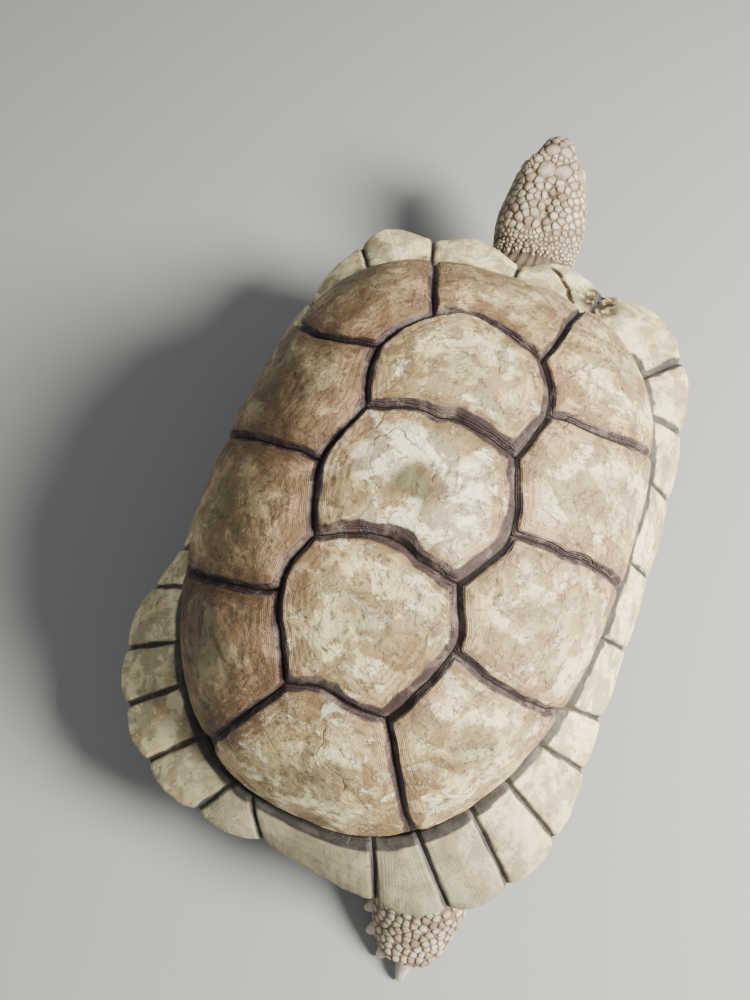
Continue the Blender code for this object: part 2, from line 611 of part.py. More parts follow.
def build_limbs():
    down = (0.0, 0.0, -1.0)
    legs = {
        "foreleg_right": ((((-0.082, -0.145, 0.098), 0.044, 0.040), ((-0.108, -0.198, 0.098), 0.049, 0.042),
                           ((-0.118, -0.243, 0.094), 0.051, 0.042), ((-0.121, -0.274, 0.080), 0.049, 0.038),
                           ((-0.122, -0.288, 0.052), 0.044, 0.033)), (-1, 0.15, 0)),
        "foreleg_left": ((((0.080, -0.138, 0.096), 0.044, 0.040), ((0.113, -0.170, 0.095), 0.049, 0.042),
                          ((0.137, -0.196, 0.090), 0.051, 0.041), ((0.148, -0.214, 0.076), 0.049, 0.037),
                          ((0.151, -0.222, 0.052), 0.044, 0.033)), (0.8, 0.5, 0)),
        "hindleg_left": ((((0.068, 0.140, 0.090), 0.044, 0.040), ((0.105, 0.152, 0.089), 0.047, 0.041),
                          ((0.133, 0.164, 0.087), 0.046, 0.038), ((0.146, 0.172, 0.052), 0.043, 0.042)), (0, -1, 0)),
        "hindleg_right": ((((-0.068, 0.145, 0.088), 0.044, 0.040), ((-0.088, 0.198, 0.082), 0.048, 0.041),
                           ((-0.103, 0.240, 0.070), 0.046, 0.036), (HEEL, 0.0415, 0.0305)), (-1, 0, 0)),
    }
    for name, (stations, side) in legs.items():
        standing = name != "hindleg_right"
        leg = limb(name, stations, side, last_direction=down if standing else HEEL_DIRECTION)
        combine(leg, trunk_cutter(), "DIFFERENCE")
    fore_widths, fore_depths = (0.044, 0.0445, 0.047, 0.043), (0.033, 0.034, 0.038, 0.035)
    column_foot("forefoot_right", (-0.122, -0.288, 0.052 - JOINT_GAP), (-0.125, -0.295, 0.0), -8,
                fore_widths, fore_depths, 5, 0.027)
    column_foot("forefoot_left", (0.151, -0.222, 0.052 - JOINT_GAP), (0.154, -0.230, 0.0), 22,
                fore_widths, fore_depths, 5, 0.027)
    column_foot("hindfoot_left", (0.146, 0.172, 0.052 - JOINT_GAP), (0.149, 0.168, 0.0), 28,
                (0.042, 0.042, 0.044, 0.041), (0.043, 0.043, 0.045, 0.042), 4, 0.025)
    heel = Vector(HEEL) + HEEL_DIRECTION * JOINT_GAP
    stations = ((heel, 0.0415, 0.0305), ((-0.1120, 0.300, 0.043), 0.0395, 0.0265),
                ((-0.1130, 0.320, 0.0255), 0.0370, 0.0230), ((-0.1150, 0.339, 0.0140), 0.0315, 0.0185),
                ((-0.1170, 0.355, 0.0090), 0.0205, 0.0120))
    claws = (((-0.0900, 0.316, 0.021), (-0.0720, 0.3320, 0.006), 0.0074, 0.0078),
             ((-0.0965, 0.331, 0.018), (-0.0800, 0.3480, 0.004), 0.0076, 0.0076),
             ((-0.1060, 0.343, 0.014), (-0.0955, 0.3620, 0.003), 0.0074, 0.0072),
             ((-0.1180, 0.347, 0.013), (-0.1190, 0.3725, 0.003), 0.0070, 0.0066))
    trailing_foot("hindfoot_right", stations, (-1, 0, 0), claws)


# ---------------------------------------------------------------- head
HEAD_SNOUT = Vector((0.0125, -0.4600, 0.1440))
HEAD_YAW, HEAD_PITCH = math.radians(7.0), math.radians(18.0)
HEAD_LENGTH = 0.138
EYE_BACK, EYE_OUT, EYE_UP = 0.047, 0.0262, 0.0090
MOUTH_DROP = -0.0115
# back from the snout: half width, top, bottom
HEAD_SECTIONS = ((0.0020, 0.0110, 0.0090, -0.0140), (0.0070, 0.0158, 0.0165, -0.0212),
                 (0.0180, 0.0203, 0.0232, -0.0252), (0.0300, 0.0262, 0.0275, -0.0272),
                 (0.0400, 0.0318, 0.0300, -0.0284), (0.0500, 0.0362, 0.0315, -0.0295),
                 (0.0620, 0.0405, 0.0325, -0.0307), (0.0780, 0.0445, 0.0332, -0.0320),
                 (0.0950, 0.0472, 0.0330, -0.0333), (0.1120, 0.0485, 0.0322, -0.0345),
                 (0.1260, 0.0475, 0.0305, -0.0350), (0.1380, 0.0450, 0.0290, -0.0345))
HEAD_POWER = (2.15, 2.55)                  # squareness of the section at the snout and at the back
# swellings of the head: back from the snout, reach along, share of the half width, reach across, height
BROW = (0.046, 0.016, 0.72, 0.22, 0.0030)
CROWN_LOBE = (0.098, 0.024, 0.40, 0.30, 0.0028)


def head_axes():
    forward = Vector((math.sin(HEAD_YAW) * math.cos(HEAD_PITCH), -math.cos(HEAD_YAW) * math.cos(HEAD_PITCH),
                      math.sin(HEAD_PITCH)))
    left = Vector((math.cos(HEAD_YAW), math.sin(HEAD_YAW), 0.0))
    return forward, left, left.cross(forward) * -1.0


def head_place(back, out, up):
    forward, left, rise = head_axes()
    return HEAD_SNOUT - forward * back + left * out + rise * up


def swelling(shape, back, across):
    """Height that one pair of rounded swellings adds at a place on top of the head."""
    middle, reach_along, side, reach_across, height = shape
    return height * math.exp(-((back - middle) / reach_along) ** 2 - ((abs(across) - side) / reach_across) ** 2)


def head_ring(back, half_width, top, bottom, turns=HEAD_TURNS):
    power = HEAD_POWER[0] + (HEAD_POWER[1] - HEAD_POWER[0]) * back / HEAD_LENGTH
    ring = []
    for k in range(turns):
        s, c = superellipse(2 * math.pi * k / turns, power)
        grow = (swelling(BROW, back, s) + swelling(CROWN_LOBE, back, s)) * (1.0 if c > 0.2 else 0.0)
        ring.append(head_place(back, s * (half_width + grow), c * (top + grow if c > 0 else -bottom)))
    return ring


def ball(name, centre, radius, **look):
    turns, levels = 12, 6
    rings = []
    for level in range(1, levels):
        a = math.pi * level / levels
        rings.append([centre + Vector((math.sin(a) * math.cos(b), math.sin(a) * math.sin(b), math.cos(a))) * radius
                      for b in (2 * math.pi * k / turns for k in range(turns))])
    return loft(name, rings, (centre + Vector((0, 0, radius)), centre - Vector((0, 0, radius))), **look)


def jaw_block(grow):
    """Prism that takes the lower jaw out of the head below the mouth line."""
    mouth = MOUTH_DROP + grow
    profile = ((-0.02, mouth), (0.066 + grow, mouth), (0.098 + grow, -0.06), (-0.02, -0.06))
    near = [head_place(back, -0.07, up) for back, up in profile]
    far = [head_place(back, 0.07, up) for back, up in profile]
    faces = [(0, 1, 2, 3), (7, 6, 5, 4)] + [(i, (i + 1) % 4, 4 + (i + 1) % 4, 4 + i) for i in range(4)]
    return solid("jaw_block", near + far, faces, cutter=True)


def build_head():
    rings = [head_ring(*section) for section in HEAD_SECTIONS]
    ends = (head_place(0.0, 0.0, -0.003), head_place(HEAD_LENGTH, 0.0, 0.0))
    jaw = loft("lower_jaw", rings, ends, colour="skin")
    combine(jaw, jaw_block(0.0), "INTERSECT")
    head = loft("head", rings, ends, colour="skin")
    combine(head, jaw_block(JOINT_GAP), "DIFFERENCE")
    for side, sign in (("left", 1), ("right", -1)):
        centre = head_place(EYE_BACK, sign * EYE_OUT, EYE_UP)
        combine(head, ball("socket", centre, EYE_RADIUS + EYE_GAP, cutter=True), "DIFFERENCE")
        ball("eye_" + side, centre, EYE_RADIUS, colour="eye", roughness=0.1)


clear_scene()
build_shell()
build_trunk()
build_plastron()
build_head()
head_forward = head_axes()[0]
build_neck_and_tail(head_place(HEAD_LENGTH + JOINT_GAP, 0.0, 0.0), head_forward)
build_limbs()

for thing in bpy.data.objects:
    for vertex in thing.data.vertices:
        vertex.co -= ORIGIN
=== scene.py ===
# %% [markdown]
# # A spurred tortoise, dressed
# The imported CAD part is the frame: one rigid body in 55 named nodes.
# Here each shell plate gets its worn surface, and one skin with scales over it
# takes the place of the soft nodes. Everything is made from sizes and functions.

# %% Load the frame
import math
from itertools import product
import bpy
import bmesh
import numpy as np
from mathutils import Matrix, Vector
from mathutils.bvhtree import BVHTree
from mathutils.kdtree import KDTree


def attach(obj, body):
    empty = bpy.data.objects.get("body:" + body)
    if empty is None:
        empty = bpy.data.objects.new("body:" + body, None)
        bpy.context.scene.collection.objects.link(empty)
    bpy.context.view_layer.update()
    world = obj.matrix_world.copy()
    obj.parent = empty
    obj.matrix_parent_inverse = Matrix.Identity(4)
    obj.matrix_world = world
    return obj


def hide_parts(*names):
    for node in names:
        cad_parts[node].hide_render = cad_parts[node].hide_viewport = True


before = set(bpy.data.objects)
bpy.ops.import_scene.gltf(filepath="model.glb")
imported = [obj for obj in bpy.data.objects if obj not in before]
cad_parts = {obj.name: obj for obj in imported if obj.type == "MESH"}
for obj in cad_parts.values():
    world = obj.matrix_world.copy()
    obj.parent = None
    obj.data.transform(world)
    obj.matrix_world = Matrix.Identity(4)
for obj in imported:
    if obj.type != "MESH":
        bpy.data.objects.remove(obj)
BODY = "root"
bpy.context.view_layer.update()

# %% [markdown]
# ## Sizes of the shell
# The shell is one dome over a round map: left and rear are plus, 1 is the seam of
# the rim. The same sizes made the CAD plates, so finer plates land on them.
# They could be measured off the CAD meshes, but the functions give clean seams.

# %% Shell sizes
ORIGIN = np.array((0.0022, -0.0451, 0.0))
SEAM_HALF_WIDTH = 0.171
SEAM_REACH = (0.217, 0.288)
SEAM_PLAN_POWER = (2.70, 2.45)
SEAM_HEIGHT = (0.175, 0.162, 0.114)
CROWN_HEIGHT = 0.287
CROWN_SETBACK = 0.022
DOME_POWER = (2.13, 2.11)
DOME_SWEEP = (math.radians(93.2), math.radians(74.8))
# how far the lip stands out past the seam, by degrees from the front
RIM_OVERHANG = {
    "left": ((0, 0.040), (14, 0.054), (26, 0.056), (34, 0.071), (42, 0.055), (51, 0.044), (62, 0.038),
             (75, 0.034), (102, 0.032), (113, 0.035), (121, 0.053), (130, 0.062), (138, 0.060),
             (149, 0.051), (159, 0.038), (170, 0.027), (180, 0.025)),
    "right": ((0, 0.040), (12, 0.054), (24, 0.052), (34, 0.068), (44, 0.064), (56, 0.048), (70, 0.041),
              (104, 0.039), (114, 0.042), (123, 0.051), (132, 0.062), (141, 0.062), (150, 0.056),
              (160, 0.043), (170, 0.029), (180, 0.025)),
}
RIM_HEIGHT = ((0, 0.161), (25, 0.157), (42, 0.150), (56, 0.128), (72, 0.106), (90, 0.094),
              (113, 0.094), (137, 0.100), (150, 0.098), (165, 0.092), (180, 0.086))
RIM_SCALLOP = (0.009, 0.002, 0.006)        # bulge of a rim plate in front, at the side, behind
SCUTE_RISE = 0.0045                        # how far the middle of a plate stands over the dome
# where the seams of the rim meet the seam line and the lip, in degrees from the front
MARGINAL_SEAMS = {
    "left": ((25.0, 24.5), (41.8, 39.0), (58.0, 53.0), (71.0, 69.0), (88.0, 86.0), (102.9, 100.5),
             (114.5, 112.0), (121.3, 119.0), (130.3, 129.0), (137.8, 137.5), (148.4, 146.5), (160.8, 158.0)),
    "right": ((25.0, 23.5), (46.5, 43.0), (55.0, 55.5), (70.5, 68.5), (90.5, 86.0), (104.7, 100.5),
              (116.8, 112.5), (123.7, 120.5), (131.4, 130.5), (139.0, 139.5), (150.5, 148.5), (160.7, 159.7)),
}
TAIL_PLATE_EDGE = {"left": (165.5, 173.0), "right": (160.7, 159.7)}
# where three plates meet, left and right, on the map
JUNCTIONS = {
    "J1": ((0.157, -0.325), (-0.209, -0.272)),
    "A2": ((0.236, -0.152), (-0.257, -0.130)),
    "J2": ((0.194, 0.000), (-0.218, -0.006)),
    "A3": ((0.247, 0.110), (-0.277, 0.118)),
    "J3": ((0.198, 0.242), (-0.205, 0.233)),
    "A4": ((0.246, 0.360), (-0.265, 0.346)),
    "J4": ((0.156, 0.556), (-0.183, 0.543)),
}
# where seams of the dome meet the rim, in degrees from the front, left and right
RING_MEETS = {"A1": (24.5, 23.5), "C12": (64.0, 68.6), "C23": (96.8, 97.2),
              "C34": (116.7, 117.2), "A5": (150.2, 151.5)}
COSTAL_BEND = {"left": (0.520, -0.180), "right": (-0.540, -0.175)}
CROSS_BENDS = {
    "v12": ((0.095, -0.378), (0.010, -0.400), (-0.104, -0.352)),
    "v23": ((0.105, -0.034), (0.000, -0.052), (-0.106, -0.038)),
    "v34": ((0.108, 0.228), (-0.015, 0.226), (-0.125, 0.232)),
    "v45": ((0.055, 0.550), (-0.070, 0.562)),
}
# oldest point of each plate, from front to rear
AREOLAE = {
    "vertebral": ((0.000, -0.600), (-0.018, -0.200), (-0.012, 0.105), (-0.004, 0.395), (0.030, 0.760)),
    "left": ((0.430, -0.380), (0.430, -0.010), (0.430, 0.238), (0.440, 0.500)),
    "right": ((-0.440, -0.360), (-0.440, 0.012), (-0.420, 0.238), (-0.400, 0.490)),
}
print("shell sizes ready")

# %% [markdown]
# ## Surface functions
# Each takes arrays of places and gives an array of points, which is much faster
# than one point at a time when a plate has ten thousand of them.

# %% Curves and noise
def smooth_through(stations, at):
    """Smooth curve through (place, value) stations, level at both ends."""
    places, values = np.array(stations, float).T
    slopes = np.zeros_like(values)
    slopes[1:-1] = (values[2:] - values[:-2]) / (places[2:] - places[:-2])
    at = np.clip(at, places[0], places[-1])
    k = np.clip(np.searchsorted(places, at, side="right") - 1, 0, len(places) - 2)
    span = places[k + 1] - places[k]
    u = (at - places[k]) / span
    return ((2 * u ** 3 - 3 * u ** 2 + 1) * values[k] + (u ** 3 - 2 * u ** 2 + u) * span * slopes[k]
            + (3 * u ** 2 - 2 * u ** 3) * values[k + 1] + (u ** 3 - u ** 2) * span * slopes[k + 1])


def superellipse(angle, power):
    s, c = np.abs(np.sin(angle)), np.abs(np.cos(angle))
    k = (s ** power + c ** power) ** (-1.0 / power)
    return np.sin(angle) * k, np.cos(angle) * k


def ease(low, high, value):
    """0 at low, 1 at high, and smooth between; low may be the larger."""
    u = np.clip((value - low) / (high - low), 0.0, 1.0)
    return u * u * (3 - 2 * u)


def lattice(cell, seed):
    """A fixed random number from 0 to 1 for every whole-number cell."""
    mixed = cell[..., 0] * 374761393 + cell[..., 1] * 668265263 + cell[..., 2] * 1274126177 + seed * 974711
    mixed = (mixed ^ (mixed >> 13)) * 1103515245 & 0x7FFFFFFF
    mixed = (mixed ^ (mixed >> 11)) * 12345701 & 0x7FFFFFFF
    return (mixed >> 8 & 0xFFFF) / 65535.0


def noise(points, size, seed=0):
    """Smooth random field from -1 to 1 with lumps of about that size in metres."""
    scaled = points / size
    cell = np.floor(scaled).astype(np.int64)
    u = scaled - cell
    u = u * u * (3 - 2 * u)
    total = np.zeros(len(points))
    for corner in range(8):
        step = np.array((corner & 1, corner >> 1 & 1, corner >> 2 & 1))
        weight = np.prod(np.where(step, u, 1 - u), axis=1)
        total += weight * lattice(cell + step, seed)
    return total * 2 - 1


def rough(points, size, seed=0, octaves=3):
    """Several layers of noise, each half as large and half as strong."""
    total = np.zeros(len(points))
    for k in range(octaves):
        total += noise(points, size * 0.5 ** k, seed + 17 * k) * 0.5 ** k
    return total / (2 - 0.5 ** (octaves - 1))


print("noise sample", round(float(noise(np.array([[0.1, 0.2, 0.3]]), 0.05)[0]), 3))

# %% Dome and rim surfaces
def by_end(heading, front, side, rear):
    c = np.cos(heading)
    return side + (front - side) * np.maximum(c, 0) ** 2 + (rear - side) * np.maximum(-c, 0) ** 2


def seam_point(heading):
    """Points of the marginal seam line; headings in radians, plus toward the left."""
    forward = np.cos(heading) > 0
    across, along = superellipse(heading, np.where(forward, *SEAM_PLAN_POWER))
    reach = np.where(forward, *SEAM_REACH)
    return np.stack([across * SEAM_HALF_WIDTH, -along * reach, by_end(heading, *SEAM_HEIGHT)], axis=-1)


def seam_outward(heading):
    step = 1e-4
    along = seam_point(heading + step) - seam_point(heading - step)
    out = np.stack([-along[..., 1], along[..., 0], np.zeros_like(heading)], axis=-1)
    out /= np.linalg.norm(out, axis=-1, keepdims=True)
    inward = np.sum(out * seam_point(heading), axis=-1, keepdims=True) < 0
    return np.where(inward, -out, out)


def dome_point(x, y):
    """Points of the dome for places on the round shell map."""
    share, heading = np.hypot(x, y), np.arctan2(x, -y)
    edge = seam_point(heading)
    end = np.cos(heading) ** 2
    power = DOME_POWER[0] + (DOME_POWER[1] - DOME_POWER[0]) * end
    sweep = DOME_SWEEP[0] + (DOME_SWEEP[1] - DOME_SWEEP[0]) * end
    out, up = superellipse(share * sweep, power)
    out_edge, up_edge = superellipse(sweep, power)
    spread, lift = out / out_edge, (up - up_edge) / (1.0 - up_edge)
    return np.stack([edge[..., 0] * spread, CROWN_SETBACK + (edge[..., 1] - CROWN_SETBACK) * spread,
                     edge[..., 2] + (CROWN_HEIGHT - edge[..., 2]) * lift], axis=-1)


def unit(vectors):
    return vectors / np.maximum(np.linalg.norm(vectors, axis=-1, keepdims=True), 1e-12)


def dome_normal(x, y):
    step = 1e-3
    across = dome_point(x + step, y) - dome_point(x - step, y)
    along = dome_point(x, y + step) - dome_point(x, y - step)
    normal = unit(np.cross(across, along))
    facing = normal[..., 2] * 1.2 + np.sum(normal * dome_point(x, y), axis=-1)
    return np.where(facing[..., None] > 0, normal, -normal)


def rim_place(heading, lip_heading, bulge, share, height):
    """Points in the rim's section: share 0 at the seam line, 1 at the lip; height along its normal."""
    turned = np.degrees(np.arctan2(np.sin(lip_heading), np.cos(lip_heading)))
    overhang = np.where(turned >= 0, smooth_through(RIM_OVERHANG["left"], np.abs(turned)),
                        smooth_through(RIM_OVERHANG["right"], np.abs(turned)))
    out = seam_outward(lip_heading)
    lip = seam_point(lip_heading) + out * (overhang + bulge * by_end(lip_heading, *RIM_SCALLOP))[..., None]
    lip[..., 2] = smooth_through(RIM_HEIGHT, np.abs(turned))
    seam = seam_point(heading)
    slope = lip - seam
    drop = slope[..., 2] / np.linalg.norm(slope, axis=-1)
    normal = np.stack([-out[..., 0] * drop, -out[..., 1] * drop, np.sqrt(1 - drop * drop)], axis=-1)
    return seam + slope * share[..., None] + normal * height[..., None]


print("crown", dome_point(np.zeros(1), np.zeros(1)).round(4))

# %% [markdown]
# ## Seams of the big plates
# Seams are smooth curves through a few junctions on the map. A low wave is added to
# the finished line, as grown seams are never true. Both neighbours get the same
# wave because it depends on the place alone, so the two plates still meet.

# %% Seam curves
CURVE_PIECES = 14
SEAM_WAVE = (0.0060, 0.045)                # height and length of the waves, on the map


def ring_place(heading_degrees):
    a = math.radians(heading_degrees)
    return (math.sin(a), -math.cos(a))


def curve_through(knots):
    """Smooth open curve through map points."""
    padded = [knots[0]] + list(knots) + [knots[-1]]
    out = []
    for k in range(1, len(padded) - 2):
        before, a, b, after = [np.array(p) for p in padded[k - 1:k + 3]]
        for u in np.arange(CURVE_PIECES) / CURVE_PIECES:
            out.append(0.5 * (2 * a + (b - before) * u + (2 * before - 5 * a + 4 * b - after) * u * u
                              + (3 * a - before - 3 * b + after) * u ** 3))
    out.append(np.array(knots[-1]))
    return out


def ring_run(start, stop):
    return [np.array(ring_place(a)) for a in np.linspace(start, stop, 60)]


def chain(*runs):
    """Closed loop of map points out of runs that follow on from each other."""
    return np.array([p for run in runs for p in run[:-1]])


def shell_loops():
    """Outline loop of every dorsal scute, on the shell map."""
    place = {}
    for name, (left, right) in JUNCTIONS.items():
        place[name, "left"], place[name, "right"] = left, right
    for name, (left, right) in RING_MEETS.items():
        place[name, "left"], place[name, "right"] = ring_place(left), ring_place(-right)

    def link(side, *names):
        return curve_through([place[name, side] for name in names])

    cross = {}
    for key, junction in (("v12", "J1"), ("v23", "J2"), ("v34", "J3"), ("v45", "J4")):
        ends = place[junction, "left"], place[junction, "right"]
        cross[key] = curve_through((ends[0], *CROSS_BENDS[key], ends[1]))
    back = {key: run[::-1] for key, run in cross.items()}
    (a1_left, a1_right), (a5_left, a5_right) = RING_MEETS["A1"], RING_MEETS["A5"]
    loops = {
        "vertebral_1": chain(link("left", "J1", "A1"), ring_run(a1_left, -a1_right),
                             link("right", "A1", "J1"), back["v12"]),
        "vertebral_5": chain(link("left", "J4", "A5"), ring_run(a5_left, 360 - a5_right),
                             link("right", "A5", "J4"), back["v45"]),
    }
    flank = {}
    for number, names in enumerate((("J1", "A2", "J2"), ("J2", "A3", "J3"), ("J3", "A4", "J4")), 2):
        for side in ("left", "right"):
            flank[number, side] = link(side, *names)
        rear, front = "v%d%d" % (number, number + 1), "v%d%d" % (number - 1, number)
        loops["vertebral_%d" % number] = chain(flank[number, "left"], cross[rear],
                                               flank[number, "right"][::-1], back[front])
    half = CURVE_PIECES + 1
    for side, sign, pick in (("left", 1, 0), ("right", -1, 1)):
        first, c12, c23, c34, last = [sign * RING_MEETS[key][pick]
                                      for key in ("A1", "C12", "C23", "C34", "A5")]
        outward = curve_through((place["A2", side], COSTAL_BEND[side], place["C12", side]))
        two, three, four = [flank[number, side] for number in (2, 3, 4)]
        loops["costal_%s_1" % side] = chain(link(side, "A1", "J1"), two[:half], outward, ring_run(c12, first))
        loops["costal_%s_2" % side] = chain(two[half - 1:], three[:half], link(side, "A3", "C23"),
                                            ring_run(c23, c12), outward[::-1])
        loops["costal_%s_3" % side] = chain(three[half - 1:], four[:half], link(side, "A4", "C34"),
                                            ring_run(c34, c23), link(side, "C23", "A3"))
        loops["costal_%s_4" % side] = chain(four[half - 1:], link(side, "J4", "A5"),
                                            ring_run(last, c34), link(side, "C34", "A4"))
    return loops


def waved(loop):
    """The loop with the shared low wave; points on the rim seam only slide along it."""
    flat = np.column_stack([loop, np.zeros(len(loop))])
    height, length = SEAM_WAVE
    shift = np.column_stack([rough(flat, length, 3), rough(flat, length, 4)]) * height
    radius = np.hypot(*loop.T)
    shift *= (1 - ease(0.93, 1.0, radius))[:, None]
    return loop + shift


def evenly(loop, count):
    """The closed loop resampled to points at equal steps over the shell."""
    closed = np.vstack([loop, loop[:1]])
    solid = dome_point(closed[:, 0], closed[:, 1])
    travel = np.concatenate([[0], np.cumsum(np.linalg.norm(np.diff(solid, axis=0), axis=1))])
    at = np.linspace(0, travel[-1], count, endpoint=False)
    return np.column_stack([np.interp(at, travel, closed[:, k]) for k in (0, 1)])


loops = {name: waved(loop) for name, loop in shell_loops().items()}
print("plates on the dome", len(loops))

# %% [markdown]
# ## Making one mesh
# Every piece is a grid of points or a few of them, so one helper turns arrays into
# an object, stores named numbers per point for the shaders, and ties it to the body.

# %% Mesh helpers
def added(name, data):
    """A new object in the scene."""
    thing = bpy.data.objects.new(name, data)
    bpy.context.scene.collection.objects.link(thing)
    return thing


def per_vertex(mesh, key):
    """Places ("co") or normals ("normal") of a mesh's vertices as an array."""
    values = np.zeros(len(mesh.vertices) * 3)
    mesh.vertices.foreach_get(key, values)
    return values.reshape(-1, 3)


def store_numbers(mesh, numbers):
    for key, values in numbers.items():
        layer = mesh.attributes.new(key, "FLOAT", "POINT")
        layer.data.foreach_set("value", np.asarray(values, np.float32))


def make_piece(name, points, faces, nodes=(), slot=None, **numbers):
    """An object from arrays; numbers become point attributes that materials can read."""
    mesh = bpy.data.meshes.new(name)
    mesh.from_pydata((points - ORIGIN).tolist(), [], faces)
    store_numbers(mesh, numbers)
    mesh.shade_smooth()
    thing = added(name, mesh)
    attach(thing, BODY)
    if nodes:
        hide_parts(*nodes)
    return thing


def grid_faces(rows, turns, closed=True, start=0):
    """Quads between rows of points, each row with the same number of turns."""
    faces = []
    for k in range(rows - 1):
        for i in range(turns if closed else turns - 1):
            j = (i + 1) % turns
            a, b = start + k * turns, start + (k + 1) * turns
            faces.append((a + i, a + j, b + j, b + i))
    return faces


def end_cap(row, turns, centre):
    """Triangles from a row of points to one centre point."""
    return [(row + i, row + (i + 1) % turns, centre) for i in range(turns)]


print("helpers ready")

# %% [markdown]
# ## Plates of the dome
# A plate grows at its edges, so its rings are smaller copies of its outline around
# the oldest spot, the areola. A polar grid between outline and areola follows that
# growth, and holds relief: the seam groove, steps of growth, pits in the areola.
# A bump map alone would leave the outline of the shell too clean.

# %% Build the dome plates
PLATE_TURNS, PLATE_LEVELS = 168, 62
SEAM_DEPTH, SEAM_RUN = 0.0032, 0.0050      # depth of the groove, and how far it climbs
SKIRT = 0.006                              # how far the edge goes down into the bed
RING_COUNT, RING_RELIEF = 11, 0.00040
PIT_SIZE, PIT_DEPTH = 0.009, 0.0016
PLATE_LUMPS = ((0.032, 0.0013), (0.013, 0.00065), (0.006, 0.00025))   # size and height
PLATE_SEED = {name: 11 + 7 * k for k, name in enumerate(sorted(loops))}
# width of the dark young horn along the seam, and how bleached the old horn is; by side it also holds painted
# light on the right and painted shade on the left
BAND_WIDTH = {"vertebral_1": 0.0036, "vertebral_2": 0.0062, "vertebral_3": 0.0074, "vertebral_4": 0.0070}
BAND_USUAL = 0.0043
BAND_AT_RIM, BAND_REAR_GAIN, BAND_RIGHT_GAIN = 0.0022, 0.0038, 0.0030
BAND_BLUR = 0.0007                         # half width of the soft edge of a band
BLEACH = {"vertebral_1": 0.38, "vertebral_2": 1.10, "vertebral_3": 1.35, "vertebral_4": 1.05,
          "vertebral_5": 0.90}
# the paler right costals are painted light and the darker left ones painted shade
BLEACH_AND_LIGHT_BY_SIDE = {"left": 0.04, "right": 0.80}
PAINTED_LEFT_SHADE = {"costal_left_2": 0.35, "costal_left_3": 0.25, "costal_left_4": 1.0}     # painted shade on the left costals
OLIVE, OLIVE_USUAL = {"vertebral_3": 1.0}, 0.58                   # dark of the areola
STRIATED = (0.026, 0.042)                  # the streaked outer part of the right side, from the seam
STRIPE_STEP = 0.0052                       # distance between its streaks


def rim_band_width(points):
    """The young horn along the seam between dome and rim is widest at the rear and on the right."""
    return (BAND_AT_RIM + BAND_REAR_GAIN * ease(-0.04, 0.18, points[:, 1])
            + BAND_RIGHT_GAIN * ease(-0.06, -0.15, points[:, 0]))


def growth_steps(points, share, seed):
    """0 in the groove between two seasons of growth and 1 on the ridge."""
    phase = (RING_COUNT * share ** 0.8 + 2.0 * rough(points, 0.045, seed)
             + 0.55 * noise(points, 0.012, seed + 1))
    return np.abs(np.sin(math.pi * phase)) ** 0.6


def band_mask(name, points, radius, heading, seam, centre, seed):
    """1 on the dark young horn beside the seam."""
    away = unit((points - centre) * np.array((1, 1, 0)))
    lean = away @ np.array((-0.64, 0.77, 0.0))
    width = BAND_WIDTH.get(name, BAND_USUAL)
    if name in BAND_WIDTH:
        width = width * (1 + 0.25 * lean)
    else:
        width = width + (rim_band_width(points) - width) * ease(0.90, 0.98, radius)
    width = width * (1 + 0.40 * rough(points, 0.014, seed + 8, 2))
    from_rim = np.linalg.norm(points - seam_point(heading), axis=1)
    streaked = ease(STRIATED[1], STRIATED[0], from_rim + 0.006 * noise(points, 0.02, seed + 9))
    streaked *= ease(-0.08, -0.13, points[:, 0]) * ease(0.20, 0.12, points[:, 1])
    wander = 0.004 * noise(points, 0.025, seed + 10)
    stripes = 0.5 + 0.5 * np.sin((from_rim + wander) * 2 * math.pi / STRIPE_STEP)
    return np.maximum(1 - ease(-BAND_BLUR, BAND_BLUR, seam - width), streaked * (0.25 + 0.60 * stripes))


def plate_relief(points, share, radius, seam, steps, seed):
    """Height of a plate over the dome at each of its points."""
    climb = ease(0.0, SEAM_RUN + 0.009 * ease(0.88, 0.98, radius), seam)
    broad = smooth_through(((0.0, 0.0), (0.10, 0.16), (0.33, 0.55), (0.66, 0.90), (1.0, 1.0)), share)
    young = (1 - ease(0.25, 0.60, share)) * ease(0.3, 1.0, climb)
    wear = 0.45 + 0.55 * ease(-0.35, 0.35, rough(points, 0.05, seed + 2))
    pits = np.minimum(rough(points, PIT_SIZE, seed + 3, 2) + 0.15, 0.0) * ease(0.55, 0.85, share)
    lumps = sum(rough(points, size, seed + k, 2) * height for k, (size, height) in enumerate(PLATE_LUMPS, 4))
    return (-SEAM_DEPTH * (1 - climb) + broad * SCUTE_RISE * 0.9 + RING_RELIEF * steps * young * wear
            + pits * PIT_DEPTH + lumps * climb)


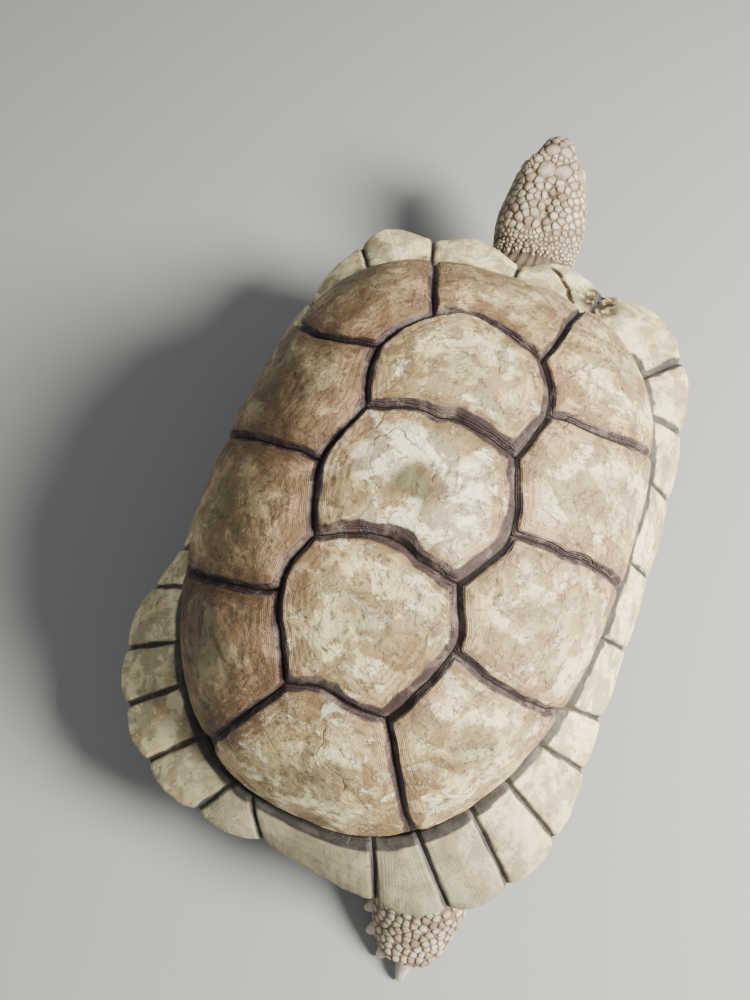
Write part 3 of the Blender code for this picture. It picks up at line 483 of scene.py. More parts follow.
def dome_plate(name, areola):
    """One plate of the dome: rings of points from its seam in to its areola, with a skirt below."""
    outline = evenly(loops[name], PLATE_TURNS)
    share = np.linspace(0, 1, PLATE_LEVELS + 1)[:-1] ** 1.2
    x = outline[None, :, 0] + (areola[0] - outline[None, :, 0]) * share[:, None]
    y = outline[None, :, 1] + (areola[1] - outline[None, :, 1]) * share[:, None]
    x, y = np.append(x.ravel(), areola[0]), np.append(y.ravel(), areola[1])
    share = np.append(np.repeat(share, PLATE_TURNS), 1.0)
    base, normal = dome_point(x, y), dome_normal(x, y)
    edge_tree = KDTree(PLATE_TURNS)
    for k in range(PLATE_TURNS):
        edge_tree.insert(base[k], k)
    edge_tree.balance()
    seam = np.array([edge_tree.find(p)[2] for p in base])
    seam[:PLATE_TURNS] = 0.0
    seed = PLATE_SEED[name]
    steps = growth_steps(base, share, seed)
    band = band_mask(name, base, np.hypot(x, y), np.arctan2(x, -y), seam, base[-1], seed)
    points = base + normal * plate_relief(base, share, np.hypot(x, y), seam, steps, seed)[:, None]
    skirt = points[:PLATE_TURNS] - normal[:PLATE_TURNS] * SKIRT
    points = np.vstack([skirt, points])
    rows = PLATE_LEVELS + 1
    faces = grid_faces(rows, PLATE_TURNS)
    last, centre = (rows - 1) * PLATE_TURNS, rows * PLATE_TURNS
    faces += end_cap(last, PLATE_TURNS, centre)
    lead = lambda values: np.concatenate([values[:PLATE_TURNS], values])
    # for costals this number holds painted light on the right and painted shade on the left
    bleach_and_light = BLEACH[name] if name in BLEACH else BLEACH_AND_LIGHT_BY_SIDE[name.split("_")[1]]
    flat = {"bleach_and_light": bleach_and_light, "soil": PAINTED_LEFT_SHADE.get(name, 0.0), "olive": OLIVE.get(name, OLIVE_USUAL),
            "seed": seed}
    return make_piece("plate_" + name, points, faces, (name,), "scute", share=lead(share), seam=lead(seam),
                      steps=lead(steps), band=lead(band),
                      **{key: np.full(len(points), value) for key, value in flat.items()})


dome_plates = []
for group, name in (("vertebral", "vertebral_%d"), ("left", "costal_left_%d"), ("right", "costal_right_%d")):
    dome_plates += [dome_plate(name % k, areola) for k, areola in enumerate(AREOLAE[group], 1)]
print("dome plates", len(dome_plates), "faces", sum(len(p.data.polygons) for p in dome_plates))

# %% [markdown]
# ## Plates of the rim
# A rim plate is a bent wedge. Its section runs from the seam over the top, round the
# lip and back underneath. Its growth lines keep clear of the seams, like a frame.

# %% Build the rim plates
RIM_ALONG = 60                             # grid lines along a plate, from seam to seam
LIP_WAVE = 0.0012                          # waviness of the lip
RIM_SEAM_DEPTH, RIM_SEAM_RUN = 0.0024, 0.0040
RIM_RING_COUNT, RIM_RING_RUN, RIM_RING_RELIEF = 9, 0.030, 0.00035
RIM_LUMPS = ((0.026, 2, 0.0012), (0.009, 3, 0.0005))     # size, octaves and height
# share and height round the section, with the top first
RIM_SECTION = (
    (-0.010, -0.0075), (0.000, -0.0030), (0.022, -0.0016), (0.055, 0.0001), (0.09, 0.0009), (0.13, 0.0013),
    (0.20, 0.0015), (0.28, 0.0019), (0.36, 0.0021), (0.44, 0.0022), (0.52, 0.0022), (0.60, 0.0021),
    (0.68, 0.0018), (0.75, 0.0014), (0.81, 0.0010), (0.86, 0.0006), (0.90, 0.0002), (0.935, -0.0003),
    (0.965, -0.0011), (0.985, -0.0022), (0.995, -0.0036), (0.990, -0.0052), (0.970, -0.0068), (0.93, -0.0080),
    (0.85, -0.0090), (0.70, -0.0100), (0.50, -0.0112), (0.25, -0.0126), (0.03, -0.0138))
LIP_ROW = 20                               # the last row of the section on the upper face
# an old injury at the right end of the first plate on the right
SCAR_SEAM = [-math.radians(degrees) for degrees in MARGINAL_SEAMS["right"][0]]
SCAR = rim_place(np.array(SCAR_SEAM[:1]), np.array(SCAR_SEAM[1:]), np.zeros(1), np.array((0.62,)),
                 np.zeros(1))[0]
SCAR_REACH, SCAR_KNOBS, SCAR_SINK = 0.024, 0.0075, 0.0018
CLEFT_HALF_WIDTH, CLEFT_DEPTH = 0.0030, 0.0034
SCARRED_PLATE = "marginal_right_1"


def rim_plate(name, start, stop, seed):
    """One rim plate between two seams, each given as (seam-line heading, lip heading) in degrees."""
    section = np.array(RIM_SECTION)
    halfway = (section[1:] + section[:-1]) / 2
    shares, heights = np.insert(section, np.arange(1, len(section)), halfway, axis=0).T
    along = np.linspace(0, 1, RIM_ALONG)
    u, v = np.repeat(along, len(shares)), np.tile(shares, RIM_ALONG)
    height = np.tile(heights, RIM_ALONG)
    heading = np.radians(start[0] + (stop[0] - start[0]) * u)
    lip_heading = np.radians(start[1] + (stop[1] - start[1]) * u)
    bulge = np.sin(math.pi * np.clip(u, 1e-6, 1 - 1e-6)) ** 0.7
    flat = rim_place(heading, lip_heading, bulge, v, height * 0)
    lines = flat.reshape(RIM_ALONG, -1, 3)
    width = np.linalg.norm(lines[-1] - lines[0], axis=1)
    side_gap = np.minimum(u, 1 - u) * np.tile(width, RIM_ALONG)
    depth = np.linalg.norm(rim_place(heading, lip_heading, bulge, np.ones_like(v), height * 0)
                           - seam_point(heading), axis=1)
    ring_gap = np.maximum(v, 0) * depth
    upper = np.tile(np.arange(len(shares)) <= 2 * LIP_ROW, RIM_ALONG)
    seam = np.where(upper, np.minimum(side_gap, ring_gap), side_gap)
    climb = ease(0.0, RIM_SEAM_RUN, side_gap)
    phase = RIM_RING_COUNT * ease(0.0, RIM_RING_RUN, seam) + 0.8 * rough(flat, 0.035, seed)
    steps = np.abs(np.sin(math.pi * phase)) ** 0.6
    lumps = sum(rough(flat, size, seed + k, octaves) * rise
                for k, (size, octaves, rise) in enumerate(RIM_LUMPS, 1))
    ridges = steps * RIM_RING_RELIEF * ease(0.003, 0.006, seam)
    scar = np.exp(-(np.linalg.norm(flat - SCAR, axis=1) / SCAR_REACH) ** 2)
    lumps = lumps + scar * (SCAR_KNOBS * rough(flat, 0.010, 61, 2) - SCAR_SINK)
    if name == SCARRED_PLATE:
        off = (u - 0.40 - 0.66 * (0.78 - v)) * np.tile(width, RIM_ALONG) + 0.003 * noise(flat, 0.012, 62)
        cleft = np.exp(-(off / CLEFT_HALF_WIDTH) ** 2) * ease(0.88, 0.74, v)
        lumps = lumps - CLEFT_DEPTH * cleft
        scar = np.maximum(0.85 * scar, 1.6 * cleft)
    swell = np.where(upper, ridges + lumps - RIM_SEAM_DEPTH * (1 - climb), -lumps * 0.5)
    lip_shift = LIP_WAVE * rough(flat, 0.012, seed + 3, 2) / depth * ease(0.85, 1.0, v)
    points = rim_place(heading, lip_heading, bulge, v + lip_shift, height + swell)
    faces = grid_faces(RIM_ALONG, len(shares))
    points = np.vstack([points, points[:len(shares)].mean(axis=0), points[-len(shares):].mean(axis=0)])
    count, turns = len(points), len(shares)
    faces += end_cap(0, turns, count - 2) + end_cap((RIM_ALONG - 1) * turns, turns, count - 1)
    tail = lambda values: np.append(values, [0.0, 0.0])
    reach = 0.0035 + 0.0050 * ease(-0.04, 0.18, flat[:, 1]) + 0.0025 * ease(0.10, 0.15, flat[:, 0])
    reach += 0.0155 * ease(-0.10, -0.15, flat[:, 0]) * ease(0.20, 0.05, flat[:, 1])
    reach *= 1 + 0.20 * noise(flat, 0.012, seed + 5)
    streak = np.where(upper, ease(0.0006, -0.0006, ring_gap - reach), 0.0)
    joint_width = 0.0024 + 0.0022 * ease(-0.08, -0.16, flat[:, 0]) * ease(-0.10, -0.20, flat[:, 1])
    joint = ease(0.0006, -0.0006, side_gap - joint_width * (1 + 0.45 * noise(flat, 0.010, seed + 6)))
    # darker grey-green toward the tail, fading out toward the left side
    soil = 0.85 * ease(0.17, 0.31, flat[:, 1]) * ease(0.16, 0.06, flat[:, 0])
    return make_piece("plate_" + name, points, faces, (name,), "rim", seam=tail(seam), turn=tail(u),
                      out=tail(np.clip(v, 0, 1)), steps=tail(steps), band=tail(np.maximum(streak, joint)),
                      scar=tail(scar), soil=tail(soil), seed=np.full(count, seed))


rim_plates = []
for side, sign in (("left", 1), ("right", -1)):
    seams = ((0.0, 0.0),) + MARGINAL_SEAMS[side]
    if TAIL_PLATE_EDGE[side] != MARGINAL_SEAMS[side][-1]:
        seams += (TAIL_PLATE_EDGE[side],)
    for number in range(1, len(seams)):
        start, stop = [(a * sign, b * sign) for a, b in seams[number - 1:number + 1]]
        seed = 100 + 13 * len(rim_plates)
        rim_plates.append(rim_plate("marginal_%s_%d" % (side, number), start, stop, seed))
left, right = TAIL_PLATE_EDGE["left"], TAIL_PLATE_EDGE["right"]
rim_plates.append(rim_plate("supracaudal", left, (360 - right[0], 360 - right[1]), 777))
print("rim plates", len(rim_plates), "faces", sum(len(p.data.polygons) for p in rim_plates))

# %% [markdown]
# ## The soft body's own lines
# Neck, legs and tail are tubes along a path of (centre, half width, half depth)
# stations, with the direction of their width; the head has sections back from the
# snout. The skin is one union of these, so no seam shows where a leg meets its foot.

# %% Soft body sizes
COAT = 0.0010                              # how far the skin lies inside the CAD nodes
# height, half width, widening at the bridge, reach in front and behind
TRUNK_LEVELS = ((0.131, 0.147, 0.006, 0.197, 0.258), (0.100, 0.141, 0.010, 0.180, 0.235),
                (0.062, 0.120, 0.024, 0.163, 0.212), (0.032, 0.100, 0.016, 0.140, 0.180))
BRIDGE_RANGE = (54.0, 68.0, 110.0, 124.0)  # degrees where the bridge starts, is full, fades and ends
HEEL = (-0.110, 0.276, 0.056)
TUBES = {
    "neck": ((
        ((0.000, -0.170, 0.104), 0.044, 0.040), ((0.000, -0.215, 0.100), 0.047, 0.038),
        ((0.000, -0.255, 0.096), 0.048, 0.036), ((-0.001, -0.288, 0.095), 0.047, 0.034),
        ((-0.002, -0.310, 0.097), 0.046, 0.032), ((-0.0034, -0.3297, 0.1014), 0.0445, 0.0310),
        ((-0.0010, -0.3480, 0.1075), 0.0430, 0.0290)), (1, 0, 0)),
    "tail": ((
        ((0.000, 0.215, 0.082), 0.024, 0.022), ((0.006, 0.245, 0.080), 0.022, 0.020),
        ((0.020, 0.270, 0.070), 0.016, 0.015), ((0.036, 0.287, 0.058), 0.010, 0.010),
        ((0.048, 0.296, 0.049), 0.004, 0.004)), (1, 0, 0)),
    "foreleg_right": ((
        ((-0.082, -0.145, 0.098), 0.044, 0.040), ((-0.108, -0.198, 0.098), 0.049, 0.042),
        ((-0.118, -0.243, 0.094), 0.051, 0.042), ((-0.121, -0.274, 0.080), 0.049, 0.038),
        ((-0.122, -0.288, 0.052), 0.044, 0.033), ((-0.1230, -0.2904, 0.0338), 0.0445, 0.034),
        ((-0.1241, -0.2929, 0.0156), 0.047, 0.038), ((-0.125, -0.295, 0.0), 0.043, 0.035)),
        (-1, 0.15, 0)),
    "foreleg_left": ((
        ((0.080, -0.138, 0.096), 0.044, 0.040), ((0.113, -0.170, 0.095), 0.049, 0.042),
        ((0.137, -0.196, 0.090), 0.051, 0.041), ((0.148, -0.214, 0.076), 0.049, 0.037),
        ((0.151, -0.222, 0.052), 0.044, 0.033), ((0.1520, -0.2248, 0.0338), 0.0445, 0.034),
        ((0.1531, -0.2276, 0.0156), 0.047, 0.038), ((0.154, -0.230, 0.0), 0.043, 0.035)),
        (0.8, 0.5, 0)),
    "hindleg_left": ((
        ((0.068, 0.140, 0.090), 0.044, 0.040), ((0.105, 0.152, 0.089), 0.047, 0.041),
        ((0.133, 0.164, 0.087), 0.046, 0.038), ((0.146, 0.172, 0.052), 0.042, 0.042),
        ((0.1471, 0.1706, 0.0338), 0.042, 0.043), ((0.1481, 0.1692, 0.0156), 0.044, 0.045),
        ((0.149, 0.168, 0.0), 0.041, 0.042)), (0, -1, 0)),
    "hindleg_right": ((
        ((-0.068, 0.145, 0.088), 0.044, 0.040), ((-0.088, 0.198, 0.082), 0.048, 0.041),
        ((-0.103, 0.240, 0.070), 0.046, 0.036), (HEEL, 0.0415, 0.0305),
        ((-0.1120, 0.300, 0.043), 0.0395, 0.0265), ((-0.1130, 0.320, 0.0255), 0.0370, 0.0230),
        ((-0.1150, 0.339, 0.0140), 0.0315, 0.0185), ((-0.1170, 0.355, 0.0090), 0.0205, 0.0120)),
        (-1, 0, 0)),
}
HEAD_SNOUT = np.array((0.0125, -0.4600, 0.1440))
HEAD_YAW, HEAD_PITCH = math.radians(7.0), math.radians(18.0)
HEAD_LENGTH = 0.138
# back from the snout: half width, top, bottom
HEAD_SECTIONS = ((0.0020, 0.0110, 0.0090, -0.0140), (0.0070, 0.0158, 0.0165, -0.0212),
                 (0.0180, 0.0203, 0.0232, -0.0252), (0.0300, 0.0262, 0.0275, -0.0272),
                 (0.0400, 0.0318, 0.0300, -0.0284), (0.0500, 0.0362, 0.0315, -0.0295),
                 (0.0620, 0.0405, 0.0325, -0.0307), (0.0780, 0.0445, 0.0332, -0.0320),
                 (0.0950, 0.0472, 0.0330, -0.0333), (0.1120, 0.0485, 0.0322, -0.0345),
                 (0.1260, 0.0475, 0.0305, -0.0350), (0.1380, 0.0450, 0.0290, -0.0345))
HEAD_POWER = (2.15, 2.55)                  # squareness of its sections at the snout and at the neck
# swellings: where along, reach along, where across, reach across, height
BROW = (0.046, 0.016, 0.72, 0.22, 0.0030)
CROWN_LOBE = (0.098, 0.024, 0.40, 0.30, 0.0028)
EYE_BACK, EYE_OUT, EYE_UP = 0.047, 0.0262, 0.0090
EYE_RADIUS = 0.0095
MOUTH_DROP = -0.0115
head_forward = np.array((math.sin(HEAD_YAW) * math.cos(HEAD_PITCH),
                         -math.cos(HEAD_YAW) * math.cos(HEAD_PITCH), math.sin(HEAD_PITCH)))
head_left = np.array((math.cos(HEAD_YAW), math.sin(HEAD_YAW), 0.0))
head_up = -np.cross(head_left, head_forward)


def head_place(back, out, up):
    """Points in head axes: back from the snout, out to the left, up."""
    back, out, up = [np.asarray(v, float)[..., None] for v in (back, out, up)]
    return HEAD_SNOUT - head_forward * back + head_left * out + head_up * up


def in_head(points):
    """(back, out, up) of points, in head axes."""
    away = points - HEAD_SNOUT
    return np.stack([-away @ head_forward, away @ head_left, away @ head_up], axis=-1)


print("tubes", len(TUBES), "head top at", head_place(0.10, 0.0, 0.032).round(3))

# %% Closed shapes for the union
TUBE_TURNS, TUBE_STEPS = 40, 10


def swelling(shape, back, across):
    middle, reach_along, side, reach_across, height = shape
    along, aside = (back - middle) / reach_along, (np.abs(across) - side) / reach_across
    return height * np.exp(-along ** 2 - aside ** 2)


def oval(centre, forward, side, half_width, half_depth, turns=TUBE_TURNS):
    side = unit(side - forward * np.dot(forward, side))
    rise = np.cross(forward, side)
    s, c = superellipse(2 * math.pi * np.arange(turns) / turns, 2.2)
    return centre + np.outer(s * half_width, side) + np.outer(c * half_depth, rise)


def tube_rings(stations, side):
    """Even rings along a tube, smooth from station to station."""
    centres = np.array([s[0] for s in stations])
    sizes = np.array([s[1:] for s in stations]) - COAT
    places = np.arange(len(stations))
    at = np.linspace(0, len(stations) - 1, (len(stations) - 1) * TUBE_STEPS + 1)
    path = np.column_stack([np.interp(at, places, centres[:, k]) for k in range(3)])
    width, depth = [np.interp(at, places, sizes[:, k]) for k in (0, 1)]
    heading = unit(np.gradient(path, axis=0))
    soft = np.array([heading[max(k - 5, 0):k + 6].mean(axis=0) for k in range(len(at))])
    return [oval(p, unit(f), np.array(side, float), w, d) for p, f, w, d in zip(path, soft, width, depth)]


def closed_shape(rings):
    """Points and faces of a closed tube through rings of equal size."""
    turns = len(rings[0])
    points = np.vstack(list(rings) + [rings[0].mean(axis=0), rings[-1].mean(axis=0)])
    faces = grid_faces(len(rings), turns)
    last, count = (len(rings) - 1) * turns, len(points)
    faces += [((i + 1) % turns, i, count - 2) for i in range(turns)]
    faces += end_cap(last, turns, count - 1)
    return points, faces


def joined(shapes):
    """Points and faces of several closed shapes as one."""
    points, faces = [], []
    for shape_points, shape_faces in shapes:
        start = sum(len(p) for p in points)
        points.append(shape_points)
        faces += [tuple(start + i for i in face) for face in shape_faces]
    return np.vstack(points), faces


def head_rings(turns=72, count=80):
    rings = []
    table = np.array(HEAD_SECTIONS)
    angle = 2 * math.pi * np.arange(turns) / turns
    for back in np.linspace(0.0006, 1.0, count) ** 1.5 * (HEAD_LENGTH - 0.002) + 0.002:
        half_width, top, bottom = [np.interp(back, table[:, 0], table[:, k]) for k in (1, 2, 3)]
        power = HEAD_POWER[0] + (HEAD_POWER[1] - HEAD_POWER[0]) * back / HEAD_LENGTH
        s, c = superellipse(angle, power)
        grow = (swelling(BROW, back, s) + swelling(CROWN_LOBE, back, s)) * ease(0.0, 0.4, c) - COAT
        half_height = np.where(c > 0, top, -bottom)
        rings.append(head_place(back + s * 0, s * (half_width + grow), c * (half_height + grow)))
    return rings


def trunk_rings():
    """Low part of the trunk, up into the shell where plates hide it."""
    heading = 2 * math.pi * np.arange(120) / 120
    degrees = np.abs(np.degrees(np.arctan2(np.sin(heading), np.cos(heading))))
    start, full, fade, end = BRIDGE_RANGE
    bridge = ease(start, full, degrees) * (1 - ease(fade, end, degrees))
    rings = []
    for share in (0.80, 0.90, 0.985):
        x, y = np.sin(heading) * share, -np.cos(heading) * share
        rings.append(dome_point(x, y) - dome_normal(x, y) * 0.0165)
    for level, (height, half_width, widening, front, rear) in enumerate(TRUNK_LEVELS):
        across, along = superellipse(heading, 2.7)
        reach = np.where(np.cos(heading) > 0, front, rear)
        tilt = by_end(heading, 0.014, 0.0, -0.012) if level == 0 else 0.0
        rings.append(np.stack([across * (half_width + widening * bridge - COAT), -along * (reach - COAT),
                               np.full_like(heading, height) + tilt], axis=-1))
    return rings


shapes = [closed_shape(trunk_rings()), closed_shape(head_rings())]
shapes += [closed_shape(tube_rings(*TUBES[name])) for name in TUBES]
print("closed shapes", len(shapes))

# %% [markdown]
# ## One skin
# Voxel remeshing melts the closed shapes into one surface and rounds the inner
# corners a little, as flesh does. A Boolean union would keep hard creases. Faces deep
# under the shell, which no view reaches, are dropped, and the head gets finer faces.

# %% Melt the shapes into one skin
SKIN_VOXEL = 0.0026
TRUNK_HALF_SIZE, TRUNK_MIDDLE = (0.150, 0.230), 0.03     # plan of the trunk; where its middle is along Y
HIDDEN_SHARE, HIDDEN_BELOW, HIDDEN_ABOVE = 0.80, 0.036, 0.125
FINE_BEFORE = -0.40                        # the head, in front of this Y, gets finer faces


def melted(shapes):
    """One mesh of the closed shapes, remeshed and softened."""
    points, faces = joined(shapes)
    mesh = bpy.data.meshes.new("melting")
    mesh.from_pydata(points.tolist(), [], faces)
    work = bmesh.new()
    work.from_mesh(mesh)
    bmesh.ops.recalc_face_normals(work, faces=work.faces)
    work.to_mesh(mesh)
    work.free()
    thing = added("melting", mesh)
    remesh = thing.modifiers.new("melt", "REMESH")
    remesh.mode = "VOXEL"
    remesh.voxel_size = SKIN_VOXEL
    soften = thing.modifiers.new("soften", "SMOOTH")
    soften.factor, soften.iterations = 0.5, 4
    result = bpy.data.meshes.new_from_object(thing.evaluated_get(bpy.context.evaluated_depsgraph_get()))
    bpy.data.objects.remove(thing, do_unlink=True)
    return result


def plan_share(points):
    """0 in the middle of the body and 1 at the trunk's side."""
    return np.hypot(points[:, 0] / TRUNK_HALF_SIZE[0], (points[:, 1] - TRUNK_MIDDLE) / TRUNK_HALF_SIZE[1])


skin_mesh = melted(shapes)
work = bmesh.new()
work.from_mesh(skin_mesh)
places = np.array([v.co for v in work.verts])
hidden = (places[:, 2] > HIDDEN_ABOVE) | (places[:, 2] < HIDDEN_BELOW)
hidden &= plan_share(places) < HIDDEN_SHARE
bmesh.ops.delete(work, geom=[v for v, gone in zip(list(work.verts), hidden) if gone], context="VERTS")
head_faces = [f for f in work.faces if f.calc_center_median().y < FINE_BEFORE]
head_edges = list({e for f in head_faces for e in f.edges})
bmesh.ops.subdivide_edges(work, edges=head_edges, cuts=1, use_grid_fill=True)
bmesh.ops.triangulate(work, faces=[f for f in work.faces if len(f.verts) > 4])
work.to_mesh(skin_mesh)
work.free()
print("skin points", len(skin_mesh.vertices), "faces", len(skin_mesh.polygons))

# %% [markdown]
# ## Folds and face
# The melted skin is moved point by point along its normals: rings of folds and pleats
# on the neck, sunk eye pits and nostrils, the ear drums, creases on the legs, and soft
# wrinkles in the leg pockets.
# A sculpt would do it by hand; sums of smooth waves keep it repeatable.

# %% Which part of the body a point is on
TUBE_NAMES = tuple(TUBES)


def along_tube(points, name):
    """For points: distance from the path over local radius, travel 0 to 1, turn and direction."""
    stations, side = TUBES[name]
    centres = np.array([s[0] for s in stations])
    radii = np.array([(s[1] + s[2]) / 2 for s in stations])
    lengths = np.linalg.norm(np.diff(centres, axis=0), axis=1)
    travel = np.concatenate([[0], np.cumsum(lengths)])
    best = np.full(len(points), 1e9)
    out = np.zeros((len(points), 2))
    direction = np.zeros((len(points), 3))
    for k, length in enumerate(lengths):
        step = (centres[k + 1] - centres[k]) / length
        t = np.clip((points - centres[k]) @ step, 0, length)
        offset = points - centres[k] - t[:, None] * step
        radius = radii[k] + (radii[k + 1] - radii[k]) * t / length
        reach = np.linalg.norm(offset, axis=1) / radius
        nearer = reach < best
        across = unit(np.array(side, float) - step * np.dot(step, side))
        turn = np.arctan2(offset @ np.cross(step, across), offset @ across)
        best = np.where(nearer, reach, best)
        out[nearer] = np.column_stack([(travel[k] + t) / travel[-1], turn])[nearer]
        direction[nearer] = step
    return best, out[:, 0], out[:, 1], direction


def body_map(points):
    """For each point: region number (0 trunk, 1 head, 2.. tubes), travel, turn and flow direction."""
    region = np.zeros(len(points), int)
    travel, turn = np.zeros(len(points)), np.arctan2(points[:, 0], points[:, 1])
    flow = np.tile((0.0, 0.0, -1.0), (len(points), 1))
    closest = np.full(len(points), 1.22)
    for number, name in enumerate(TUBE_NAMES, 2):
        reach, place, angle, direction = along_tube(points, name)
        mine = reach < closest
        region[mine], closest[mine] = number, reach[mine]
        travel[mine], turn[mine], flow[mine] = place[mine], angle[mine], direction[mine]
    local = in_head(points)
    on_head = local[:, 0] < HEAD_LENGTH - 0.012
    region[on_head], travel[on_head] = 1, local[on_head, 0] / HEAD_LENGTH
    turn[on_head] = np.arctan2(local[on_head, 1], local[on_head, 2])
    flow[on_head] = -head_forward
    neck = region == 2
    flow[neck] = -flow[neck]
    return region, travel, turn, flow


print("regions", ("trunk", "head") + TUBE_NAMES)

# %% Shape the folds and the face
NOSTRIL = (0.0030, 0.0050, 0.0030)         # back, out, up
EAR = (0.092, -0.003, 0.0085)              # back, up, radius
SIDES = (("left", 1), ("right", -1))
EYE_CENTRES = {side: head_place(EYE_BACK, sign * EYE_OUT, EYE_UP) for side, sign in SIDES}
FOLD_STEP, FOLD_HEIGHT = 0.0135, 0.0034    # rings of folds round the neck
WRINKLE_STEP, WRINKLE_HEIGHT = 0.0052, 0.0009
PLEAT_STEP, PLEAT_HEIGHT = 0.0098, 0.0030  # pleats along the nape
NECK_RADIUS = 0.034
LIMB_CREASES, LIMB_CREASE_HEIGHT = 9, 0.0016
SOCKET_RADIUS, SOCKET_RIM, SOCKET_RIM_WIDTH = 0.0115, 0.0138, 0.0030


def bump_at(distance, radius):
    """1 at the middle of a spot and 0 past its radius."""
    return 1 - ease(0.0, 1.0, distance / radius)


def from_nostril(local, sign):
    return np.linalg.norm(local - np.array((NOSTRIL[0], sign * NOSTRIL[1], NOSTRIL[2])), axis=1)


def from_drum(back, out, up, sign):
    """Distance from the middle of the ear drum on one side of the head; far for the other side."""
    return np.hypot(back - EAR[0], up - EAR[1]) + 0.03 * (out * sign < 0)


def skin_shift(points, region, travel, turn):
    """How far each skin point moves out along its normal, and how deep it lies in a crease, kept for painted
    shade.
    """
    local = in_head(points)
    back, out, up = local.T
    shift = rough(points, 0.022, 51) * 0.0009
    neck = ease(0.122, 0.142, back) * ((region == 1) | (region == 2)) * ease(-0.175, -0.235, points[:, 1])
    wander = 0.006 * noise(points, 0.030, 52) + 0.0025 * noise(points, 0.012, 53)
    folds = np.abs(np.sin(math.pi * (back + wander) / FOLD_STEP)) ** 0.7
    small = np.abs(np.sin(math.pi * (back + wander * 0.6) / WRINKLE_STEP + 2.0 * noise(points, 0.02, 54)))
    shift += neck * (folds * FOLD_HEIGHT + small * WRINKLE_HEIGHT - 0.0026)
    nape = ease(0.134, 0.146, back) * (region == 2)
    pleats = np.abs(np.sin(math.pi * (turn * NECK_RADIUS + wander) / PLEAT_STEP)) ** 0.6
    shift += nape * (pleats * PLEAT_HEIGHT - 0.0026)
    limb = (region >= 4) * (1 - ease(0.45, 0.75, travel))
    creases = np.abs(np.sin(math.pi * (travel * LIMB_CREASES + 1.1 * noise(points, 0.030, 55))))
    shift += limb * (creases * LIMB_CREASE_HEIGHT - 0.0012)
    pocket = region == 0
    shift += pocket * (np.abs(noise(points, 0.020, 56)) * 0.003 - 0.0015)
    for side, sign in SIDES:
        reach = np.linalg.norm(points - EYE_CENTRES[side], axis=1)
        shift += 0.0016 * np.exp(-((reach - SOCKET_RIM) / SOCKET_RIM_WIDTH) ** 2)
        shift -= 0.0016 * bump_at(reach, SOCKET_RADIUS)
        hole = from_nostril(local, sign)
        shift += 0.0007 * np.exp(-((hole - 0.0036) / 0.0012) ** 2) - 0.0030 * bump_at(hole, 0.0030)
        drum = from_drum(back, out, up, sign)
        shift += 0.0008 * np.exp(-((drum - EAR[2]) / 0.0018) ** 2) - 0.0013 * bump_at(drum, EAR[2])
    # depth in the neck folds, over the nape and in the leg creases, for painted shade there
    crease_shade = np.maximum(neck * (1 - folds), nape * (0.55 + 0.45 * (1 - pleats)))
    crease_shade = crease_shade + limb * 0.6 * (1 - creases)
    cleft = np.exp(-(out / 0.0032) ** 2) * ease(0.062, 0.080, back)
    shift -= 0.0028 * (cleft * (1 - ease(0.112, 0.128, back)) * (up > 0))
    return shift, np.clip(crease_shade, 0, 1)


def snout_marks(points):
    """Painted shade in the nostrils, and the pale crust round them."""
    local = in_head(points)
    dark = np.zeros(len(points))
    for sign in (1, -1):
        dark = np.maximum(dark, bump_at(from_nostril(local, sign), 0.0026))
    crust = (1 - ease(0.004, 0.014, local[:, 0])) * ease(-0.006, 0.002, local[:, 2])
    return dark, crust * (1 - dark)


places, normals = per_vertex(skin_mesh, "co"), per_vertex(skin_mesh, "normal")
region, travel, turn, flow = body_map(places)
shift, crease_shade = skin_shift(places, region, travel, turn)
places = places + normals * shift[:, None]
places[:, 2] = np.maximum(places[:, 2], 0.0008)
skin_mesh.vertices.foreach_set("co", (places - ORIGIN).ravel())
skin_mesh.shade_smooth()
dark, crust = snout_marks(places)
store_numbers(skin_mesh, {"nostril_shade": dark, "crust": crust, "crease_shade": crease_shade})
skin = added("skin", skin_mesh)
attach(skin, BODY)
flesh = ["trunk", "head", "lower_jaw", "neck", "tail"]
flesh += [part + side for part in ("foreleg_", "forefoot_", "hindleg_", "hindfoot_")
          for side in ("left", "right")]
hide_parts(*flesh)
print("skin faces", len(skin_mesh.polygons), "points per region", np.bincount(region))

# %% [markdown]
# ## Scales
# Scales tile the skin like paving. Roots are scattered with a spacing that depends on
# the place, and each scale fills its share of the ground up to its neighbours, so the
# joints are narrow and even. Its points are set down on the skin and raised by a
# domed profile, and on the legs the lower edge stands out over the next scale.
# Stamping one scale many times would be simpler, but the joints would gape.

# %% Scatter the scale roots
SCALE_TURNS = 12
CANDIDATES = 90000
rng = np.random.default_rng(7)
skin_mesh.calc_loop_triangles()
triangles = np.zeros(len(skin_mesh.loop_triangles) * 3, np.int32)
skin_mesh.loop_triangles.foreach_get("vertices", triangles)
triangles = triangles.reshape(-1, 3)
tree = BVHTree.FromPolygons(places.tolist(), triangles.tolist())

NECK_BARE_FROM = 0.150                     # back from the snout
NECK_SPACING, TAIL_SPACING, THROAT_SPACING, LID_SPACING = 0.0044, 0.0045, 0.0038, 0.0032
BARE_EYE, LID_RIM = 0.0135, 0.019          # from the middle of the eye
# back, out and size of the large scales of the snout and brow
HEAD_PLATES = ((0.0290, 0.0082, 0.0165), (0.0540, 0.0098, 0.0185),
               (0.0430, 0.0205, 0.0100), (0.0660, 0.0240, 0.0100))


